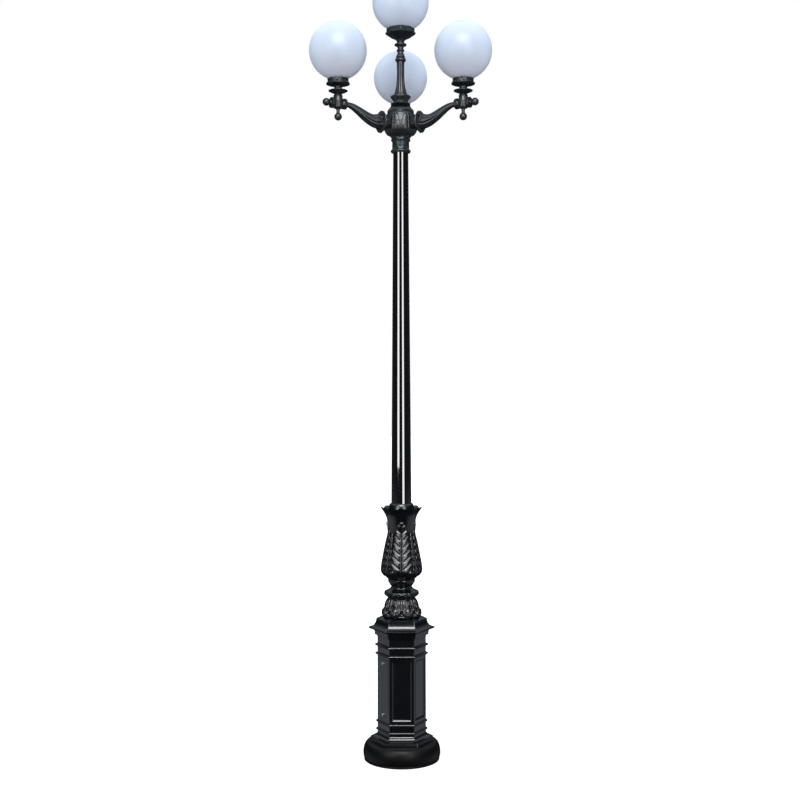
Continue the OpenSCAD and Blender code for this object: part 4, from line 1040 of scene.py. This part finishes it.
cup_low = saucer_low + 23
cup_in, cup_wall, cup_floor, cup_rise = 50.8, 3.7, 26.0, 52.0
cup_screws, thumb_hole = 42.0, 2.2
cup_out = cup_in + cup_wall
cup_side = join(
    [conduit, 0], [19.8, 0], [20.5, 0.8], [20.5, 11], curve([[21.4, 12.6], [30, 16], [50, 20],
                                                             [60.4, 23.4]], 5),
    [61.8, 24.8], [61.8, 28.4], [60.6, 29.8], curve([[57, 30.6], [55.4, 32.4], [54.6, 35]], 4),
    [cup_out, 36.4], [cup_out, 47], [cup_out + 0.9, 48.2], [cup_out + 0.9, 50.8],
    [cup_out, cup_rise], [cup_in + 0.5, cup_rise],
    [cup_in, cup_rise - 0.6], [cup_in, cup_floor], [conduit, cup_floor])
for name, azimuth in arm_azimuths.items():
    cup = piece(f"gallery_{name}_cup", [at_tip(cup_side, azimuth, cup_low, sides=128)],
                head_paint, nodes=[f"gallery_{name}"])
    holes = [radial(straight(thumb_hole, cup_in - 2, cup_in + 9), azimuth + math.radians(turn),
                    cup_low + cup_screws, sides=24) for turn in (60, 180, 300)]
    drill(cup, [(points + tip(azimuth, 0), faces) for points, faces in holes])

top_low, top_high = (v.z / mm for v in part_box("top_gallery"))
top_in, top_floor, top_screws = 66.6, 52.0, 61.0
top_azimuths = round_angles(320)
top_faces = np.radians(22.5 + 45 * np.arange(8))
eight_sided = flat_sided(top_azimuths, top_faces, 130) * math.cos(math.radians(22.5))
top_side = join(
    [19, 0], curve([[19.6, 1], [27, 11], [38, 17.5], [50.6, 24], [65, 31], [76.5, 38]], 6),
    [80.6, 42.6], [82, 45], [82, 47.8], [80.8, 49.6], curve([[78.4, 50.6], [76.4, 53.6],
                                                            [76, 56]], 4),
    [75.2, 63], [76.2, 64.4], [76, 68.8], [74.5, top_high - top_low])
level = top_side[:, 1:2]
blend = smoothstep(level, 0, 14)
reach = blend * eight_sided[None, :] + (1 - blend)
corner = np.abs(np.cos(4 * top_azimuths))[None, :] ** 24
rib = 1.3 * corner * band(level, 8, 20, 36, 42)
r = top_side[:, :1] * reach + rib
top_skin = np.stack([r * np.cos(top_azimuths), r * np.sin(top_azimuths), level + 0 * r], -1)
top_inside = turned(join([top_in + 0.6, top_high - top_low], [top_in, top_high - top_low - 0.8],
                         [top_in, top_floor], [stem_bore, top_floor], [stem_bore, 0]),
                    top_azimuths)
top_cup = piece("top_gallery_cup", [shell(np.concatenate([top_skin, top_inside]) + (0, 0, top_low))],
                head_paint, nodes=["top_gallery"], crease=32)
drill(top_cup, [radial(straight(thumb_hole, top_in - 3, top_in + 16), azimuth,
                       top_low + top_screws, sides=24) for azimuth in top_faces[::2]], crease=32)

# ----------------------------------------
# Lampholders, seals and lamps: glazed porcelain holders on the cups' floors, and
# a frosted bulb in each, with a rolled thread on its nickel cap.

coat(glazed, "lampholders")
frosted = Finish("frosted_bulb", "lamp_white")
etch = frosted.noise(2200, 2)
frosted.mottle(etch, (0.86, 0.87, 0.86), (0.93, 0.93, 0.91), etch, 0.3, 0.42)
frosted.bump(etch, 0.15, 0.00004)
nickel = Finish("nickel_cap", "lamp_white")
smear = nickel.noise(240, 3)
nickel.mottle(smear, (0.5, 0.48, 0.44), (0.72, 0.7, 0.66), smear, 0.16, 0.32, Metallic=1.0)
nickel.bump(smear, 0.1, 0.0001)
lamp_foot, cap_radius, bulb_radius = 22.3, 13.4, 30.0
thread_rows = np.linspace(5, 27, 67)
cap_side = join([4.6, 0.1], [5, 1.2], [cap_radius - 1.4, 3], [cap_radius - 0.8, 4.4],
                np.stack([cap_radius - 0.45 + 0.4 * np.cos(thread_rows * 2 * math.pi / 3.6),
                          thread_rows], 1), [cap_radius - 0.2, 28.6], [cap_radius - 0.6, 29.4],
                [1, 29.4])
bulb_side = join([1, 28.9], [cap_radius - 0.5, 28.9], curve([[cap_radius, 29.4], [14.4, 33],
                 [17.4, 46], [22.5, 58], [26.6, 67]], 6), arc(0, 83, bulb_radius, bulb_radius,
                                                              -26, 88, 24))
cup_floors = {name: tip(a, cup_low + cup_floor) for name, a in arm_azimuths.items()}
cup_floors["top"] = (0, 0, top_low + top_floor)
for name, (x, y, z) in cup_floors.items():
    bulb = turned(bulb_side, round_angles(64)) + (x, y, z + lamp_foot)
    cap = turned(cap_side, round_angles(64)) + (x, y, z + lamp_foot)
    piece(f"bulb_{name}_glass", [shell(bulb, loop=False)], frosted, f"lamp_{name}",
          [f"lamp_{name}"])
    piece(f"bulb_{name}_cap", [shell(cap, loop=False)], nickel, f"lamp_{name}")

# ----------------------------------------
# Globes: blown opal acrylic, three millimetres thick, each with a short open neck
# that stands on a rubber seal in its cup.

opal = Finish("glossy_opal", "opal")
milk = opal.spread(opal.noise(6, 3), 0, 1)
opal.mottle(milk, (0.66, 0.73, 0.88), (0.72, 0.79, 0.92), opal.noise(90, 3), 0.34, 0.42,
            Specular_IOR_Level=0.3, Subsurface_Weight=0.25, Subsurface_Scale=1.0,
            Subsurface_Radius=(0.03, 0.03, 0.03))
opal.bump(opal.noise(16, 2), 0.05, 0.002)
globe_radius, globe_wall, neck_foot = 149.96, 3.0, 3.3
for name, (x, y, z) in cup_floors.items():
    neck = 65.0 if name == "top" else 48.5
    centre = (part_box(f"globe_{name}")[1].z / mm) - globe_radius - z
    edge = math.degrees(math.asin(neck / globe_radius)) - 90
    outside = join([neck - 0.8, neck_foot], [neck, neck_foot + 0.8],
                   [neck, centre - math.sqrt(globe_radius ** 2 - neck ** 2) - 2.4],
                   arc(0, centre, globe_radius, globe_radius, edge + 1.6, 89.4, 60))
    inner_neck, inner_ball = neck - globe_wall, globe_radius - globe_wall
    edge = math.degrees(math.asin(inner_neck / inner_ball)) - 90
    inside = join(arc(0, centre, inner_ball, inner_ball, 89.4, edge, 48),
                  [inner_neck, neck_foot])
    grid = turned(join(inside, outside), round_angles(120)) + (x, y, z)
    piece(f"globe_{name}_shell", [shell(grid, loop=False)], opal,
          f"globe_{name}", [f"globe_{name}"], crease=60)
